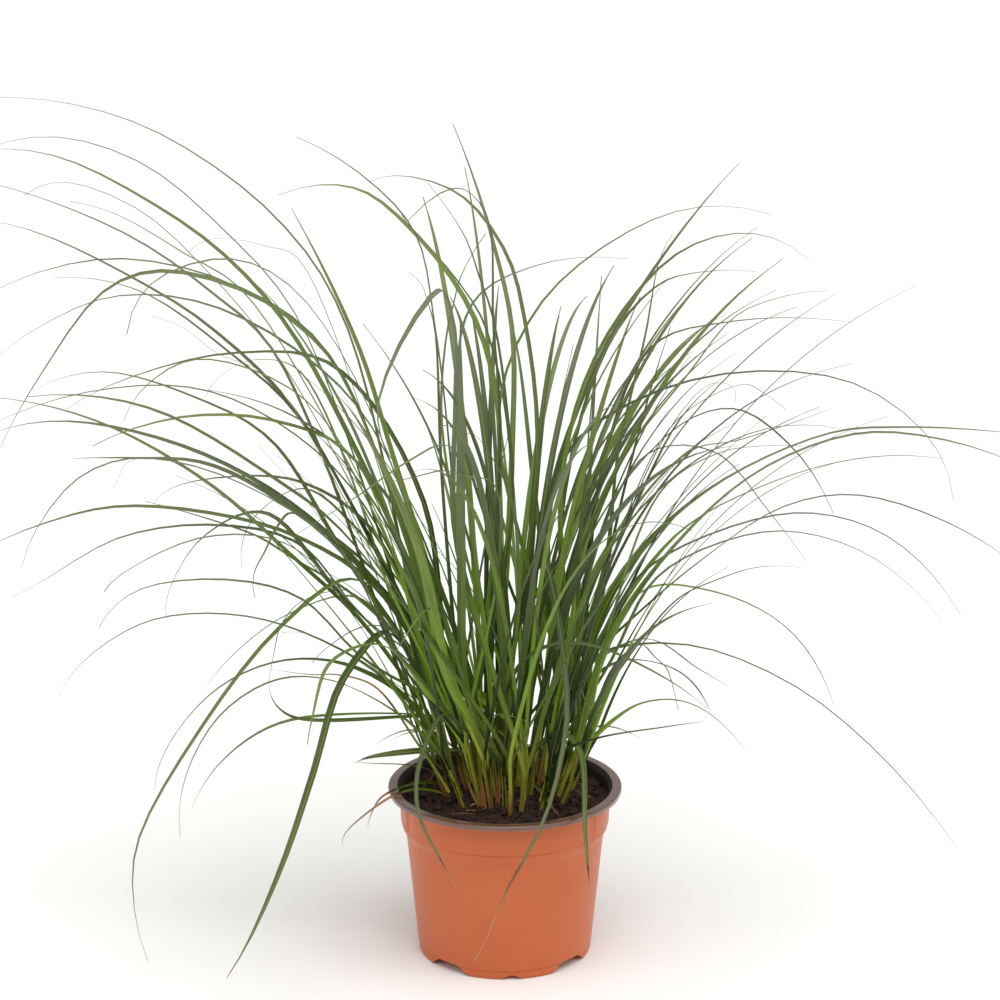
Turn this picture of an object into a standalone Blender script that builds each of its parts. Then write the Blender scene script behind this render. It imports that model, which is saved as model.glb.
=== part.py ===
"""A clump of ornamental grass growing in a thermoformed nursery pot.

The pot is one thin turned shell, the soil one plug inside it, and the grass a set of separate
shoots, each a leaf sheath with its blades. Metres, +Z up. The origin is on the pot's axis, in
the plane that the pot stands on, and the plant's front faces -Y.
"""

import math
import random

import bmesh
import bpy
import numpy as np
from mathutils import Matrix, Vector, noise
from mathutils.bvhtree import BVHTree

MM = 0.001
CM = 0.01

# Pot
RIM_RADIUS = 95.0 * MM
POT_HEIGHT = 141.5 * MM
LIP_WIDTH = 7.5 * MM
LIP_EDGE = 4.0 * MM
WALL = 1.2 * MM
COLLAR_RADIUS = 85.6 * MM
COLLAR_FOOT_RADIUS = 84.5 * MM
COLLAR_FOOT_Z = 112.0 * MM
STEP_Z = 102.3 * MM
WALL_TOP_RADIUS = 80.5 * MM
WALL_FOOT_RADIUS = 71.2 * MM
WALL_FOOT_Z = 8.0 * MM
FOOT_RADIUS = 69.8 * MM
FOOT_INNER_RADIUS = 56.0 * MM
FOOT_EDGE = 0.9 * MM
FOOT_EDGE_Z = 6.8 * MM
FOOT_DRAFT = 2.0 * MM
FLOOR_Z = 9.0 * MM
CENTRE_HOLE_RADIUS = 6.0 * MM
POT_STEPS = 32
POT_SMOOTH_ANGLE = math.radians(35.0)

# Foot: four lobes, parted by channels that slope in towards their roofs
CHANNEL_COUNT = 4
CHANNEL_TURN = math.radians(-41.0)
CHANNEL_FOOT_WIDTH = 40.0 * MM
CHANNEL_ROOF_WIDTH = 15.0 * MM
CHANNEL_HEIGHT = 7.4 * MM
CHANNEL_START_RADIUS = 50.0 * MM
CHANNEL_LENGTH = 70.0 * MM
NOTCH_TURN = math.radians(4.5)
NOTCH_WIDTH = 17.0 * MM
NOTCH_HEIGHT = 3.2 * MM
DRAIN_HOLE_RADIUS = 4.5 * MM
DRAIN_HOLE_RING = 36.0 * MM
DRAIN_HOLE_STEPS = 10
CUTTER_MARGIN = 2.0 * MM

# Soil
GAP = 0.3 * MM
SOIL_Z = 130.0 * MM
SOIL_EDGE_GAP = 2.5 * MM
SOIL_MOUND = 4.5 * MM
SOIL_MOUND_RADIUS = 70.0 * MM
SOIL_LUMP = 3.0 * MM
SOIL_LUMP_SIZE = 17.0 * MM
SOIL_RINGS = (28.0 * MM, 58.0 * MM)
SOIL_STEPS = 24
SOIL_SMOOTH_ANGLE = math.radians(50.0)
SOCKET_DEPTH = 12.0 * MM

# Shoots: they stand on an even spiral over the crown and fan out from its middle
SEED = 8
SHOOT_COUNT = 40
CROWN_CENTRE = Vector((4.0 * MM, 2.0 * MM, 0.0))
CROWN_RADIUS = 47.0 * MM
SHEATH_SIDES = 5
SHEATH_FOOT_RADIUS = 3.7 * MM
SHEATH_TOP_RADIUS = 3.1 * MM
SHEATH_HEIGHT = (32.0 * MM, 58.0 * MM)
SHEATH_LEAN = 0.42

# Leaves
LEAVES_PER_SHOOT = 3
LEAF_STEP = 95.0 * MM
LEAF_BEND_STEP = 70.0 * MM
LEAF_FEWEST_STEPS = 4
LEAF_MOST_STEPS = 9
LEAF_SOCKET = 6.0 * MM
LEAF_OFFSET = 1.4 * MM
LEAF_FOOT_WIDTH = 1.8 * MM
LEAF_OPENS_BY = 0.16
LEAF_TAPERS_FROM = 0.35
LEAF_TAPER_CURVE = 1.5
LEAF_SETTLES_BY = 0.6
LEAF_SMOOTH_ANGLE = math.radians(60.0)
LEAF_KEEL = 1.0 * MM
LEAF_TIP_KEEL = 0.45 * MM
LEAF_CLEARANCE = 0.35 * MM
POT_CLEARANCE = 5.0 * MM
POT_INSIDE_CLEARANCE = 10.6 * MM
PATH_CHECKS = 12
CURVE_FINENESS = 16
LOWEST_LEAF_Z = 4.0 * MM
REACH_SIDEWAYS = 434.0 * MM
REACH_FORWARD = 335.0 * MM

# How a leaf that is read from the front finds its shoot, and how it turns and twists there
SEEN_SPREAD = 260.0 * MM
SEEN_SHOOTS_TRIED = 8
SEEN_TRIES = 10
SEEN_CROWDING = 0.25
SEEN_DEPTH_CURVE = 1.2
SEEN_FACE = 0.7
SEEN_ROLL = (-0.15, 0.6)
SEEN_EDGE = 0.85
SEEN_RISE = 5.0 * MM
SEEN_FEWEST_POINTS = 2

# Leaves that only follow the clump's rule: ranges of length, width and angles
GROWN_LENGTH = (300.0 * MM, 470.0 * MM)
GROWN_EXTRA_LENGTH = 70.0 * MM
GROWN_WIDTH = (4.0 * MM, 8.0 * MM)
GROWN_TURN = 0.5
GROWN_LEAN = (0.03, 0.20)
GROWN_LEAN_AT_EDGE = 0.20
GROWN_DROOP = (0.35, 0.85)
GROWN_EXTRA_DROOP = 0.6
GROWN_DROOP_CURVE = 1.6
GROWN_PARTS = 6
GROWN_FACE = 0.8
GROWN_ROLL = 0.4
GROWN_TOP = 620.0 * MM
GROWN_TRIES = 200

# A leaf that is read from the front is seen from this place, level with the clump's upper half
EYE = Vector((-4.0 * MM, -2.34, 1.044))

# Leaves as read from the front: the width in mm, how far the tip lies behind the pot's axis in
# cm (in front of it if negative), and points from low on the leaf to its tip, as x and z in cm
# in the upright plane through the pot's axis.
SEEN_LEAVES = (
    # Low ones that droop to the left
    (6, -6, ((-8.5, 22), (-15, 26.5), (-21.5, 28.5), (-28.5, 28), (-34, 24.5), (-36, 21.5))),
    (6.5, -7, ((-8.5, 29), (-12.5, 31.5), (-18, 27.5), (-24.5, 19), (-30, 9), (-30.5, 3.5), (-29.5, -1.5))),
    (5, 8, ((-8.5, 22), (-13.5, 24.5), (-18.5, 24.5), (-23.5, 22), (-27.5, 17), (-28.5, 13.5))),
    (5, -12, ((-8.5, 20), (-14, 23), (-18.5, 23), (-23, 20), (-26, 14.5), (-26.5, 9.5))),
    (3.5, 15, ((-8.5, 18), (-14.5, 20), (-19, 19), (-23, 16), (-25.5, 12))),
    (4.5, -4, ((-8.5, 17.5), (-14, 19), (-17.5, 20), (-19, 23))),
    (10, -16, ((-6.5, 22), (-9.5, 27), (-13, 23), (-15.5, 15), (-18, 7.5), (-21, 0.5), (-23, -3))),
    (5, 10, ((-8.5, 26.5), (-12, 30), (-17.5, 28.5), (-22, 25), (-24, 22.5))),
    (5, -14, ((-6, 21.5), (-10, 26), (-14, 24.5), (-15.5, 20), (-16, 17.5))),
    (6, -10, ((-5.5, 16), (-8.5, 17), (-10.5, 16.5), (-12, 16))),
    # Those that fall over the front of the pot
    (6, -12, ((-3.5, 19), (-5, 20), (-7, 15.5), (-7, 11.5), (-5, 7), (-4, 5))),
    (7.5, -16, ((3, 33), (5, 21.5), (4.5, 16), (3, 10.5), (0, 4.5), (-1.5, 0.5), (-2.5, -1.5))),
    (7, -12, ((3.5, 15), (4.5, 18.5), (6, 17), (6.5, 10), (7, 4.5))),
    # Low ones that droop to the right
    (8.5, -4, ((5.5, 19.5), (7.5, 25), (14.5, 26), (22.5, 23), (29.5, 17.5), (37, 8.5))),
    (5, 9, ((7, 22), (11, 30.5), (16.5, 30.5), (22.5, 27.5), (26.5, 21))),
    (8, -16, ((6.5, 18), (8.5, 23), (12, 27.5), (16.5, 29.5))),
    (4.5, 14, ((6, 19), (9, 24.5), (13.5, 24), (16.5, 20.5))),
    (4.5, -8, ((6.5, 17.5), (11, 21), (15, 21), (19.5, 17))),
    (4.5, -20, ((6, 16), (7.5, 18), (13, 19), (16, 19.5))),
    (4, 18, ((6.5, 21.5), (11, 26.5), (15.5, 24), (18, 22.5))),
    # Long ones that arch over to the upper left
    (5, 8, ((-12.5, 52.5), (-17.5, 60.5), (-26, 67), (-33, 69.5), (-40, 70))),
    (4.5, -10, ((-16, 52.5), (-22, 60), (-28, 65), (-34.5, 67), (-40, 66))),
    (6.5, 14, ((-16, 50.5), (-21.5, 57.5), (-27.5, 62), (-34.5, 65.5), (-40, 66))),
    (6, -4, ((-18, 50), (-23, 55), (-28.5, 59), (-35, 62), (-40, 63.5))),
    (5.5, 20, ((-16, 44.5), (-23, 52), (-29, 56), (-36, 59.5), (-40, 60.5))),
    (4, -16, ((-17, 48.5), (-24, 57.5), (-28.5, 61.5), (-34, 63.5), (-37, 62.5))),
    (5, -20, ((-12.5, 47.5), (-16, 52), (-22.5, 56), (-30, 57.5), (-36, 56.5), (-40.5, 54.5))),
    (8, 3, ((-13, 48.5), (-18.5, 54), (-26.5, 56.5), (-31, 55), (-36.5, 48), (-40, 42))),
    (4.5, 18, ((-10.5, 44), (-16, 50), (-23.5, 54), (-30.5, 54.5), (-36.5, 52), (-40.5, 49))),
    (4, -24, ((-12, 48.5), (-17.5, 56), (-22, 57.5), (-27.5, 55.5), (-29.5, 51.5))),
    (4, 16, ((-16, 44.5), (-21.5, 50), (-28.5, 55), (-35, 56))),
    (4, -12, ((-20, 54.5), (-25, 58), (-30, 61), (-33.5, 62))),
    # Flatter ones to the left
    (5, 10, ((-6.5, 38), (-13.5, 49), (-21, 50), (-29.5, 48), (-34.5, 45.5))),
    (5, -8, ((-10, 36.5), (-16, 46.5), (-24, 49.5), (-28, 47.5), (-30, 44.5))),
    (4.5, 18, ((-12.5, 33), (-18.5, 43), (-24.5, 46.5), (-31.5, 48.5), (-37, 47))),
    (6, -6, ((-10.5, 36.5), (-16, 43), (-23.5, 47), (-32, 47), (-41, 44))),
    (7, 9, ((-11.5, 28), (-16.5, 33), (-23.5, 39.5), (-32, 44.5), (-40.5, 46.5))),
    (5, -18, ((-13, 35.5), (-18.5, 40), (-26.5, 45), (-32, 46.5), (-37.5, 46.5))),
    (6.5, 17, ((-11.5, 32.5), (-18, 38.5), (-25.5, 42.5), (-34.5, 44.5), (-40.5, 43.5))),
    (4.5, -14, ((-12, 41.5), (-18, 44.5), (-24, 45), (-29, 44), (-32.5, 42.5))),
    (8, 6, ((-8.5, 30), (-16.5, 37), (-23.5, 41), (-29.5, 41.5), (-34, 41.5))),
    (5.5, -10, ((-12.5, 33), (-21, 39.5), (-29, 41.5), (-33.5, 40), (-37, 36), (-38.5, 32.5))),
    (4, 12, ((-10.5, 35.5), (-16, 39.5), (-21.5, 40), (-26.5, 39), (-28, 37.5))),
    (9, -3, ((-10, 30.5), (-16.5, 35), (-23.5, 37), (-31, 37.5), (-37, 36), (-41.5, 34))),
    (5.5, 17, ((-11, 28), (-16.5, 34.5), (-23, 36), (-30.5, 35), (-37.5, 31), (-39.5, 30))),
    (4.5, -20, ((-11, 28), (-17.5, 34.5), (-24, 35), (-30.5, 32), (-32, 30.5))),
    (5, 5, ((-13, 30), (-19, 37), (-24, 35), (-27, 30), (-27, 28))),
    (5, -9, ((-11, 24.5), (-16.5, 30), (-22.5, 31.5), (-29.5, 30.5), (-32.5, 27.5))),
    (4, 14, ((-12.5, 36.5), (-16, 39), (-20, 36.5), (-21, 32.5))),
    # Upright ones in the middle
    (5, 4, ((0.5, 41.5), (0.5, 52), (-1, 59), (-2.5, 64), (-4, 68))),
    (6, -6, ((-0.5, 45.5), (-1, 52), (-1.5, 61), (-3.5, 63), (-7.5, 60.5))),
    (5.5, 10, ((2.5, 42), (1.5, 52.5), (0, 58), (-3.5, 62.5), (-8, 64), (-10.5, 63.5))),
    (6, -12, ((-4.5, 43), (-5.5, 52), (-7, 59.5), (-11, 64), (-16, 67))),
    (5, 16, ((-0.5, 44.5), (-2.5, 53), (-7, 59.5), (-11.5, 63), (-17.5, 62.5))),
    (10, -18, ((-4, 35), (-4, 45.5), (-4, 52), (-5, 55), (-7.5, 52), (-10, 45.5), (-9, 41.5))),
    (9.5, -8, ((-5, 24.5), (-9, 36), (-13, 46), (-17.5, 53.5), (-20, 56))),
    (7, 2, ((-4.5, 26.5), (-9, 42), (-11.5, 50.5), (-16.5, 61.5))),
    (10, -22, ((-4.5, 23), (-7, 34), (-11, 43.5), (-13, 46.5))),
    (7, -20, ((-3, 21.5), (-3.5, 33), (-3.5, 44), (-3.5, 52.5))),
    (5, 20, ((3, 30), (2, 41.5), (1, 50), (0, 54.5))),
    (4, -15, ((-2, 30), (-4.5, 42.5), (-8, 41), (-11.5, 38.5), (-17, 35))),
    # Steep ones to the upper right
    (7, -5, ((3.5, 37), (7, 48.5), (10.5, 55), (15, 61.5), (18, 65))),
    (6, 9, ((8, 32.5), (9, 42), (11, 51.5), (12, 57.5), (13, 59.5))),
    (5.5, -14, ((4.5, 32.5), (7, 43.5), (9.5, 52), (10.5, 54.5))),
    (4.5, 12, ((-0.5, 44.5), (2.5, 53.5), (8.5, 59), (14.5, 61.5), (20.5, 61))),
    (4.5, -10, ((4.5, 39.5), (7.5, 50.5), (13.5, 58), (19, 59.5), (23.5, 57.5))),
    (4, 18, ((4.5, 36.5), (8, 50.5), (12, 55.5), (15.5, 56.5), (19.5, 56.5))),
    (4, -18, ((6.5, 39.5), (10.5, 49.5), (15.5, 56.5), (19.5, 60))),
    (4.5, 5, ((-3.5, 44.5), (-2.5, 54), (2.5, 57), (9.5, 57.5))),
    (4.5, -7, ((7.5, 38), (14.5, 48.5), (18, 53), (21.5, 54.5), (25, 55))),
    (5, 15, ((7.5, 39.5), (11.5, 50.5), (17.5, 52.5), (27, 52.5))),
    # Long ones that arch over to the right
    (6.5, -9, ((3, 33), (5, 42), (11, 46.5), (19, 48.5), (27.5, 47.5), (33.5, 43), (35.5, 38))),
    (7, 6, ((7.5, 28), (11, 34), (17, 39.5), (25.5, 43.5), (31, 44), (40.5, 43.5))),
    (6, -14, ((8.5, 26.5), (15.5, 36.5), (21, 41), (28, 43.5), (34.5, 43), (40.5, 41))),
    (5, 20, ((8.5, 28), (14, 35.5), (21, 39.5), (28, 41.5), (34.5, 41.5))),
    (5.5, -3, ((7.5, 25.5), (11, 32), (17, 35.5), (24, 37), (30.5, 35), (36.5, 28.5))),
    (5.5, 16, ((8.5, 26.5), (15.5, 33), (22, 37.5), (27.5, 38.5), (34.5, 36.5), (41, 32.5))),
    (5, -16, ((8.5, 24.5), (12, 31.5), (17, 34.5), (22.5, 35.5), (29, 33.5), (35, 28))),
    (5.5, 10, ((6, 33), (13.5, 44), (18, 45.5), (22.5, 42.5), (26, 37))),
    (5, -8, ((7, 33), (11.5, 42), (16.5, 42), (21, 37), (24, 33))),
    (7, -12, ((7.5, 30), (11, 39), (14, 45), (17, 48))),
    (4.5, 22, ((7.5, 33), (14.5, 42), (18.5, 43), (25.5, 45.5))),
    (4.5, -22, ((7.5, 32.5), (14, 40.5), (21, 44), (28, 43.5))),
)


def clear_scene():
    for obj in list(bpy.data.objects):
        bpy.data.objects.remove(obj, do_unlink=True)


def new_collection(name, hidden=False):
    collection = bpy.data.collections.new(name)
    collection.hide_render = hidden
    bpy.context.scene.collection.children.link(collection)
    return collection


def linear(hex_colour):
    """The sRGB colour #RRGGBB as linear red, green and blue."""
    channels = [int(hex_colour[i : i + 2], 16) / 255 for i in (1, 3, 5)]
    return [c / 12.92 if c <= 0.04045 else ((c + 0.055) / 1.055) ** 2.4 for c in channels]


def new_material(name, colour, roughness):
    material = bpy.data.materials.new(name)
    material.use_nodes = True
    shader = material.node_tree.nodes["Principled BSDF"]
    shader.inputs["Base Color"].default_value = (*colour, 1.0)
    shader.inputs["Roughness"].default_value = roughness
    shader.inputs["Metallic"].default_value = 0.0
    return material


def new_object(name, mesh, collection, material=None):
    obj = bpy.data.objects.new(name, mesh)
    collection.objects.link(obj)
    if material:
        mesh.materials.append(material)
    return obj


def mesh_from(name, bm):
    """The finished shape as a mesh of triangles that face out."""
    bmesh.ops.triangulate(bm, faces=bm.faces)
    bmesh.ops.recalc_face_normals(bm, faces=bm.faces)
    if bm.calc_volume(signed=True) < 0:
        bmesh.ops.reverse_faces(bm, faces=bm.faces)
    mesh = bpy.data.meshes.new(name)
    bm.to_mesh(mesh)
    bm.free()
    return mesh


def turned(name, profile, steps, collection, material=None):
    """The profile of (radius, z) points, turned round the Z axis and made a plain mesh."""
    mesh = bpy.data.meshes.new(name)
    closed = profile[0][0] > 0 and profile[-1][0] > 0
    count = len(profile)
    edges = [(i, i + 1) for i in range(count - 1)] + ([(count - 1, 0)] if closed else [])
    mesh.from_pydata([(radius, 0.0, z) for radius, z in profile], edges, [])
    obj = new_object(name, mesh, collection, material)
    screw = obj.modifiers.new("Turn", "SCREW")
    screw.axis = "Z"
    screw.steps = steps
    screw.render_steps = steps
    screw.use_merge_vertices = True
    screw.merge_threshold = 0.00001
    made_mesh(obj)
    return obj


def made_mesh(obj):
    """Applies the object's modifiers."""
    graph = bpy.context.evaluated_depsgraph_get()
    mesh = bpy.data.meshes.new_from_object(obj.evaluated_get(graph))
    mesh.name = obj.name
    obj.modifiers.clear()
    obj.data = mesh


def boolean(obj, other, operation):
    modifier = obj.modifiers.new(operation.title(), "BOOLEAN")
    modifier.operation = operation
    modifier.solver = "EXACT"
    modifier.object = other


def hide_cutter(obj):
    obj.hide_render = True
    obj.display_type = "WIRE"


def smooth(obj, angle):
    obj.data.shade_smooth()
    obj.data.set_sharp_from_angle(angle=angle)


# ---------------------------------------------------------------------------------------- pot


def pot_profile():
    """(radius, z) points: down the outside from the lip's edge, then up the inside."""
    lip_radius = RIM_RADIUS - LIP_WIDTH
    roll = LIP_EDGE / 4
    outside = [
        (lip_radius, POT_HEIGHT),
        (RIM_RADIUS - roll, POT_HEIGHT),
        (RIM_RADIUS, POT_HEIGHT - roll),
        (RIM_RADIUS, POT_HEIGHT - LIP_EDGE),
        (RIM_RADIUS - WALL, POT_HEIGHT - LIP_EDGE),
        (RIM_RADIUS - WALL, POT_HEIGHT - LIP_EDGE + 2 * roll),
        (COLLAR_RADIUS + roll, POT_HEIGHT - LIP_EDGE + 2 * roll),
        (COLLAR_RADIUS, POT_HEIGHT - LIP_EDGE),
        (COLLAR_FOOT_RADIUS, COLLAR_FOOT_Z),
        (WALL_TOP_RADIUS, STEP_Z),
        (WALL_FOOT_RADIUS, WALL_FOOT_Z),
        (WALL_FOOT_RADIUS - FOOT_EDGE, FOOT_EDGE_Z),
        (FOOT_RADIUS, 0.0),
        (FOOT_INNER_RADIUS, 0.0),
        (FOOT_INNER_RADIUS - FOOT_DRAFT, FLOOR_Z),
        (CENTRE_HOLE_RADIUS, FLOOR_Z),
    ]
    inside = [
        (CENTRE_HOLE_RADIUS, FLOOR_Z + WALL),
        (WALL_FOOT_RADIUS - WALL, FLOOR_Z + WALL),
        (WALL_TOP_RADIUS - WALL, STEP_Z),
        (COLLAR_FOOT_RADIUS - WALL, COLLAR_FOOT_Z),
        (COLLAR_RADIUS - WALL, POT_HEIGHT - LIP_EDGE),
    ]
    return outside + inside


def channel_cutter(name, foot_width, roof_width, height, turn, collection):
    """A radial wedge that cuts one opening through the foot ring, narrower at its roof."""
    bm = bmesh.new()
    bmesh.ops.create_cube(bm, size=1.0)
    for vert in bm.verts:
        width = roof_width if vert.co.z > 0 else foot_width
        z = height if vert.co.z > 0 else -CUTTER_MARGIN
        x = CHANNEL_START_RADIUS + (CHANNEL_LENGTH if vert.co.x > 0 else 0.0)
        vert.co = (x, math.copysign(width / 2, vert.co.y), z)
    spun = Matrix.Rotation(turn - math.pi / 2, 3, "Z")
    bmesh.ops.rotate(bm, verts=bm.verts, cent=(0, 0, 0), matrix=spun)
    cutter = new_object(name, mesh_from(name, bm), collection)
    hide_cutter(cutter)
    return cutter


def drain_cutter(name, angle, collection):
    bm = bmesh.new()
    bmesh.ops.create_cone(
        bm,
        cap_ends=True,
        segments=DRAIN_HOLE_STEPS,
        radius1=DRAIN_HOLE_RADIUS,
        radius2=DRAIN_HOLE_RADIUS,
        depth=WALL + 2 * CUTTER_MARGIN,
    )
    place = (
        DRAIN_HOLE_RING * math.cos(angle),
        DRAIN_HOLE_RING * math.sin(angle),
        FLOOR_Z + WALL / 2,
    )
    bmesh.ops.translate(bm, verts=bm.verts, vec=place)
    cutter = new_object(name, mesh_from(name, bm), collection)
    hide_cutter(cutter)
    return cutter


def build_pot(collection, cutters):
    material = new_material("Terracotta polypropylene", linear("#C8683F"), 0.42)
    pot = turned("pot", pot_profile(), POT_STEPS, collection, material)
    for i in range(CHANNEL_COUNT):
        turn = CHANNEL_TURN + i * math.tau / CHANNEL_COUNT
        channel = channel_cutter(
            f"channel_cutter_{i}", CHANNEL_FOOT_WIDTH, CHANNEL_ROOF_WIDTH, CHANNEL_HEIGHT, turn, cutters
        )
        boolean(pot, channel, "DIFFERENCE")
        notch_turn = NOTCH_TURN + i * math.tau / CHANNEL_COUNT
        notch = channel_cutter(
            f"notch_cutter_{i}", NOTCH_WIDTH, NOTCH_WIDTH / 2, NOTCH_HEIGHT, notch_turn, cutters
        )
        boolean(pot, notch, "DIFFERENCE")
        boolean(pot, drain_cutter(f"drain_cutter_{i}", notch_turn, cutters), "DIFFERENCE")
    made_mesh(pot)
    smooth(pot, POT_SMOOTH_ANGLE)
    return pot


# ------------------------------------------------------------------------------------- shoots


def soil_height(x, y):
    """The height of the soil's top: a low mound round the crown, with lumps."""
    from_crown = math.hypot(x - CROWN_CENTRE.x, y - CROWN_CENTRE.y)
    share = min(1.0, from_crown / SOIL_MOUND_RADIUS)
    mound = SOIL_MOUND * math.cos(share * math.pi / 2)
    lump = SOIL_LUMP * noise.noise(Vector((x, y, 0.0)) / SOIL_LUMP_SIZE)
    return SOIL_Z + mound + lump


def crown_place(index):
    """Where a shoot comes out of the soil, as x and y: the next place on an even spiral."""
    radius = CROWN_RADIUS * math.sqrt((index + 0.5) / SHOOT_COUNT)
    angle = index * math.pi * (3 - math.sqrt(5))
    return CROWN_CENTRE + Vector((radius * math.cos(angle), radius * math.sin(angle), 0.0))


class Shoot:
    """One shoot: its foot, the axis and top of its sheath, and its leaves."""

    def __init__(self, index):
        rng = random.Random(SEED * 1000 + index)
        self.name = f"shoot_{index + 1:02d}"
        self.foot = crown_place(index)
        self.outward = (self.foot - CROWN_CENTRE) / CROWN_RADIUS
        self.foot.z = soil_height(self.foot.x, self.foot.y) - SOCKET_DEPTH
        self.axis = (Vector((0, 0, 1)) + self.outward * SHEATH_LEAN).normalized()
        self.top = self.foot + self.axis * (SOCKET_DEPTH + rng.uniform(*SHEATH_HEIGHT))
        self.leaves = []
        self.sectors = [index + k * math.tau / LEAVES_PER_SHOOT for k in range(LEAVES_PER_SHOOT)]
        self.tree = search_tree([self.rings()])

    def rings(self, extra=0.0):
        """Two rings of points round the sheath, at its foot and its top."""
        axis = np.array(self.axis)
        aside = unit(np.cross(axis, [0.0, 1.0, 0.0]))
        across = np.cross(axis, aside)
        angles = [k * math.tau / SHEATH_SIDES for k in range(SHEATH_SIDES)]
        spokes = [aside * math.cos(angle) + across * math.sin(angle) for angle in angles]
        foot = [np.array(self.foot) + spoke * (SHEATH_FOOT_RADIUS + extra) for spoke in spokes]
        top = [np.array(self.top) + spoke * (SHEATH_TOP_RADIUS + extra) for spoke in spokes]
        return [foot, top]

    def leaf_start(self, heading):
        """Two points low on a leaf that goes off at a heading: inside the sheath and just past it."""
        sector = max(self.sectors, key=lambda angle: math.cos(angle - heading))
        side = Vector((math.cos(sector), math.sin(sector), 0.0)) * LEAF_OFFSET
        inside = self.top - self.axis * LEAF_SOCKET + side
        return [inside, inside + self.axis * 2 * LEAF_SOCKET + side]

    def add(self, leaf, heading):
        self.sectors.remove(max(self.sectors, key=lambda angle: math.cos(angle - heading)))
        self.leaves.append(leaf)
        self.tree = search_tree([self.rings()] + [each.stations() for each in self.leaves])


class Leaf:
    """One leaf: the smooth curve along its middle, its width, and how it faces."""

    def __init__(self, points, width, face, roll):
        self.curve = smooth_curve(points)
        pieces = np.diff(self.curve, axis=0)
        runs = np.linalg.norm(pieces, axis=1)
        bends = np.linalg.norm(np.diff(pieces / runs[:, None], axis=0), axis=1)
        self.reach = np.cumsum([0.0, *runs])
        self.effort = self.reach + LEAF_BEND_STEP * np.cumsum([0.0, *bends, 0.0])
        self.width = width
        self.face = face
        self.roll = roll

    def line(self, steps):
        """Points along the leaf, closer together where it bends, and their shares of its length."""
        wanted = np.linspace(0.0, self.effort[-1], steps + 1)
        places = [np.interp(wanted, self.effort, self.curve[:, k]) for k in range(3)]
        shares = np.interp(wanted, self.effort, self.reach) / self.reach[-1]
        return np.stack(places, axis=1), shares

    def stations(self, extra=0.0):
        """(left edge, right edge, keel) at each step from the foot to the tip."""
        wanted = round(self.effort[-1] / LEAF_STEP)
        steps = min(max(wanted, LEAF_FEWEST_STEPS), LEAF_MOST_STEPS)
        line, shares = self.line(steps)
        heading = unit((line[-1] - line[0]) * (1, 1, 0))
        spread = np.array([heading[1], -heading[0], 0.0])
        facing = np.array([math.cos(self.face), math.sin(self.face), 0.0])
        if facing @ spread < 0:
            facing = -facing
        found = []
        for i, (place, share) in enumerate(zip(line, shares)):
            along = unit(line[min(i + 1, steps)] - line[max(i - 1, 0)])
            settled = eased(share / LEAF_SETTLES_BY)
            across = facing * (1 - settled) + spread * settled
            across = unit(across - along * (across @ along))
            over = np.cross(across, along)
            turn = self.roll * settled
            side = across * math.cos(turn) + over * math.sin(turn)
            under = across * math.sin(turn) - over * math.cos(turn)
            half = leaf_width(share, self.width) / 2 + extra
            keel = LEAF_KEEL + (LEAF_TIP_KEEL - LEAF_KEEL) * share + extra
            found.append((place - side * half, place + side * half, place + under * keel))
        return found


def unit(vector):
    return vector / np.linalg.norm(vector)


def eased(share):
    """0 to 1, with a soft start and end."""
    share = min(max(share, 0.0), 1.0)
    return share * share * (3 - 2 * share)


def clamped(value, limit):
    return min(max(value, -limit), limit)


def leaf_width(share, widest):
    """A leaf's width at a share of its length: narrow in the sheath, then a long taper."""
    opening = min(1.0, share / LEAF_OPENS_BY)
    closing = max(0.0, share - LEAF_TAPERS_FROM) / (1 - LEAF_TAPERS_FROM)
    return (LEAF_FOOT_WIDTH + (widest - LEAF_FOOT_WIDTH) * opening) * (1 - closing**LEAF_TAPER_CURVE)


def smooth_curve(points):
    """Many points along one smooth curve through the given ones."""
    given = np.array([tuple(p) for p in points])
    knots = np.cumsum([0.0, *np.linalg.norm(np.diff(given, axis=0), axis=1) ** 0.5])
    slopes = np.gradient(given, knots, axis=0, edge_order=2)
    fine = [given[0]]
    for i, span in enumerate(np.diff(knots)):
        for t in np.linspace(0.0, 1.0, CURVE_FINENESS + 1)[1:]:
            ends = given[i] + (given[i + 1] - given[i]) * (3 * t**2 - 2 * t**3)
            pull = slopes[i] * (t**3 - 2 * t**2 + t) + slopes[i + 1] * (t**3 - t**2)
            fine.append(ends + pull * span)
    return np.array(fine)


def search_tree(ringed):
    """A tree over the sides of leaves and sheaths, each given as its rings of points.

    Each four-sided piece of a side counts as folded along both of its diagonals.
    """
    points, faces = [], []
    for rings in ringed:
        base, sides = len(points), len(rings[0])
        points += [tuple(p) for ring in rings for p in ring]
        for i in range(len(rings) - 1):
            for j in range(sides):
                a = base + i * sides + j
                b = base + i * sides + (j + 1) % sides
                c, d = b + sides, a + sides
                faces += [(a, b, c), (a, c, d), (a, b, d), (b, c, d)]
    return BVHTree.FromPolygons(points, faces)


def fits(leaf, shoot, shoots):
    """Whether a leaf stays within the clump's reach and off the pot, the soil and other shoots."""
    stations = leaf.stations(LEAF_CLEARANCE)
    edges = np.array([p for station in stations for p in station])
    if edges[:, 2].min() < LOWEST_LEAF_Z:
        return False
    if abs(edges[:, 0]).max() > REACH_SIDEWAYS or abs(edges[:, 1]).max() > REACH_FORWARD:
        return False
    tree = search_tree([stations])
    if any(tree.overlap(search_tree([leaf.stations()])) for leaf in shoot.leaves):
        return False
    if any(other is not shoot and tree.overlap(other.tree) for other in shoots):
        return False
    middles = np.array([station[0] + station[1] for station in stations]) / 2
    return all(
        clears_pot(a + (b - a) * share)
        for a, b in zip(middles[1:], middles[2:])
        for share in np.linspace(0.0, 1.0, PATH_CHECKS)
    )


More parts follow.
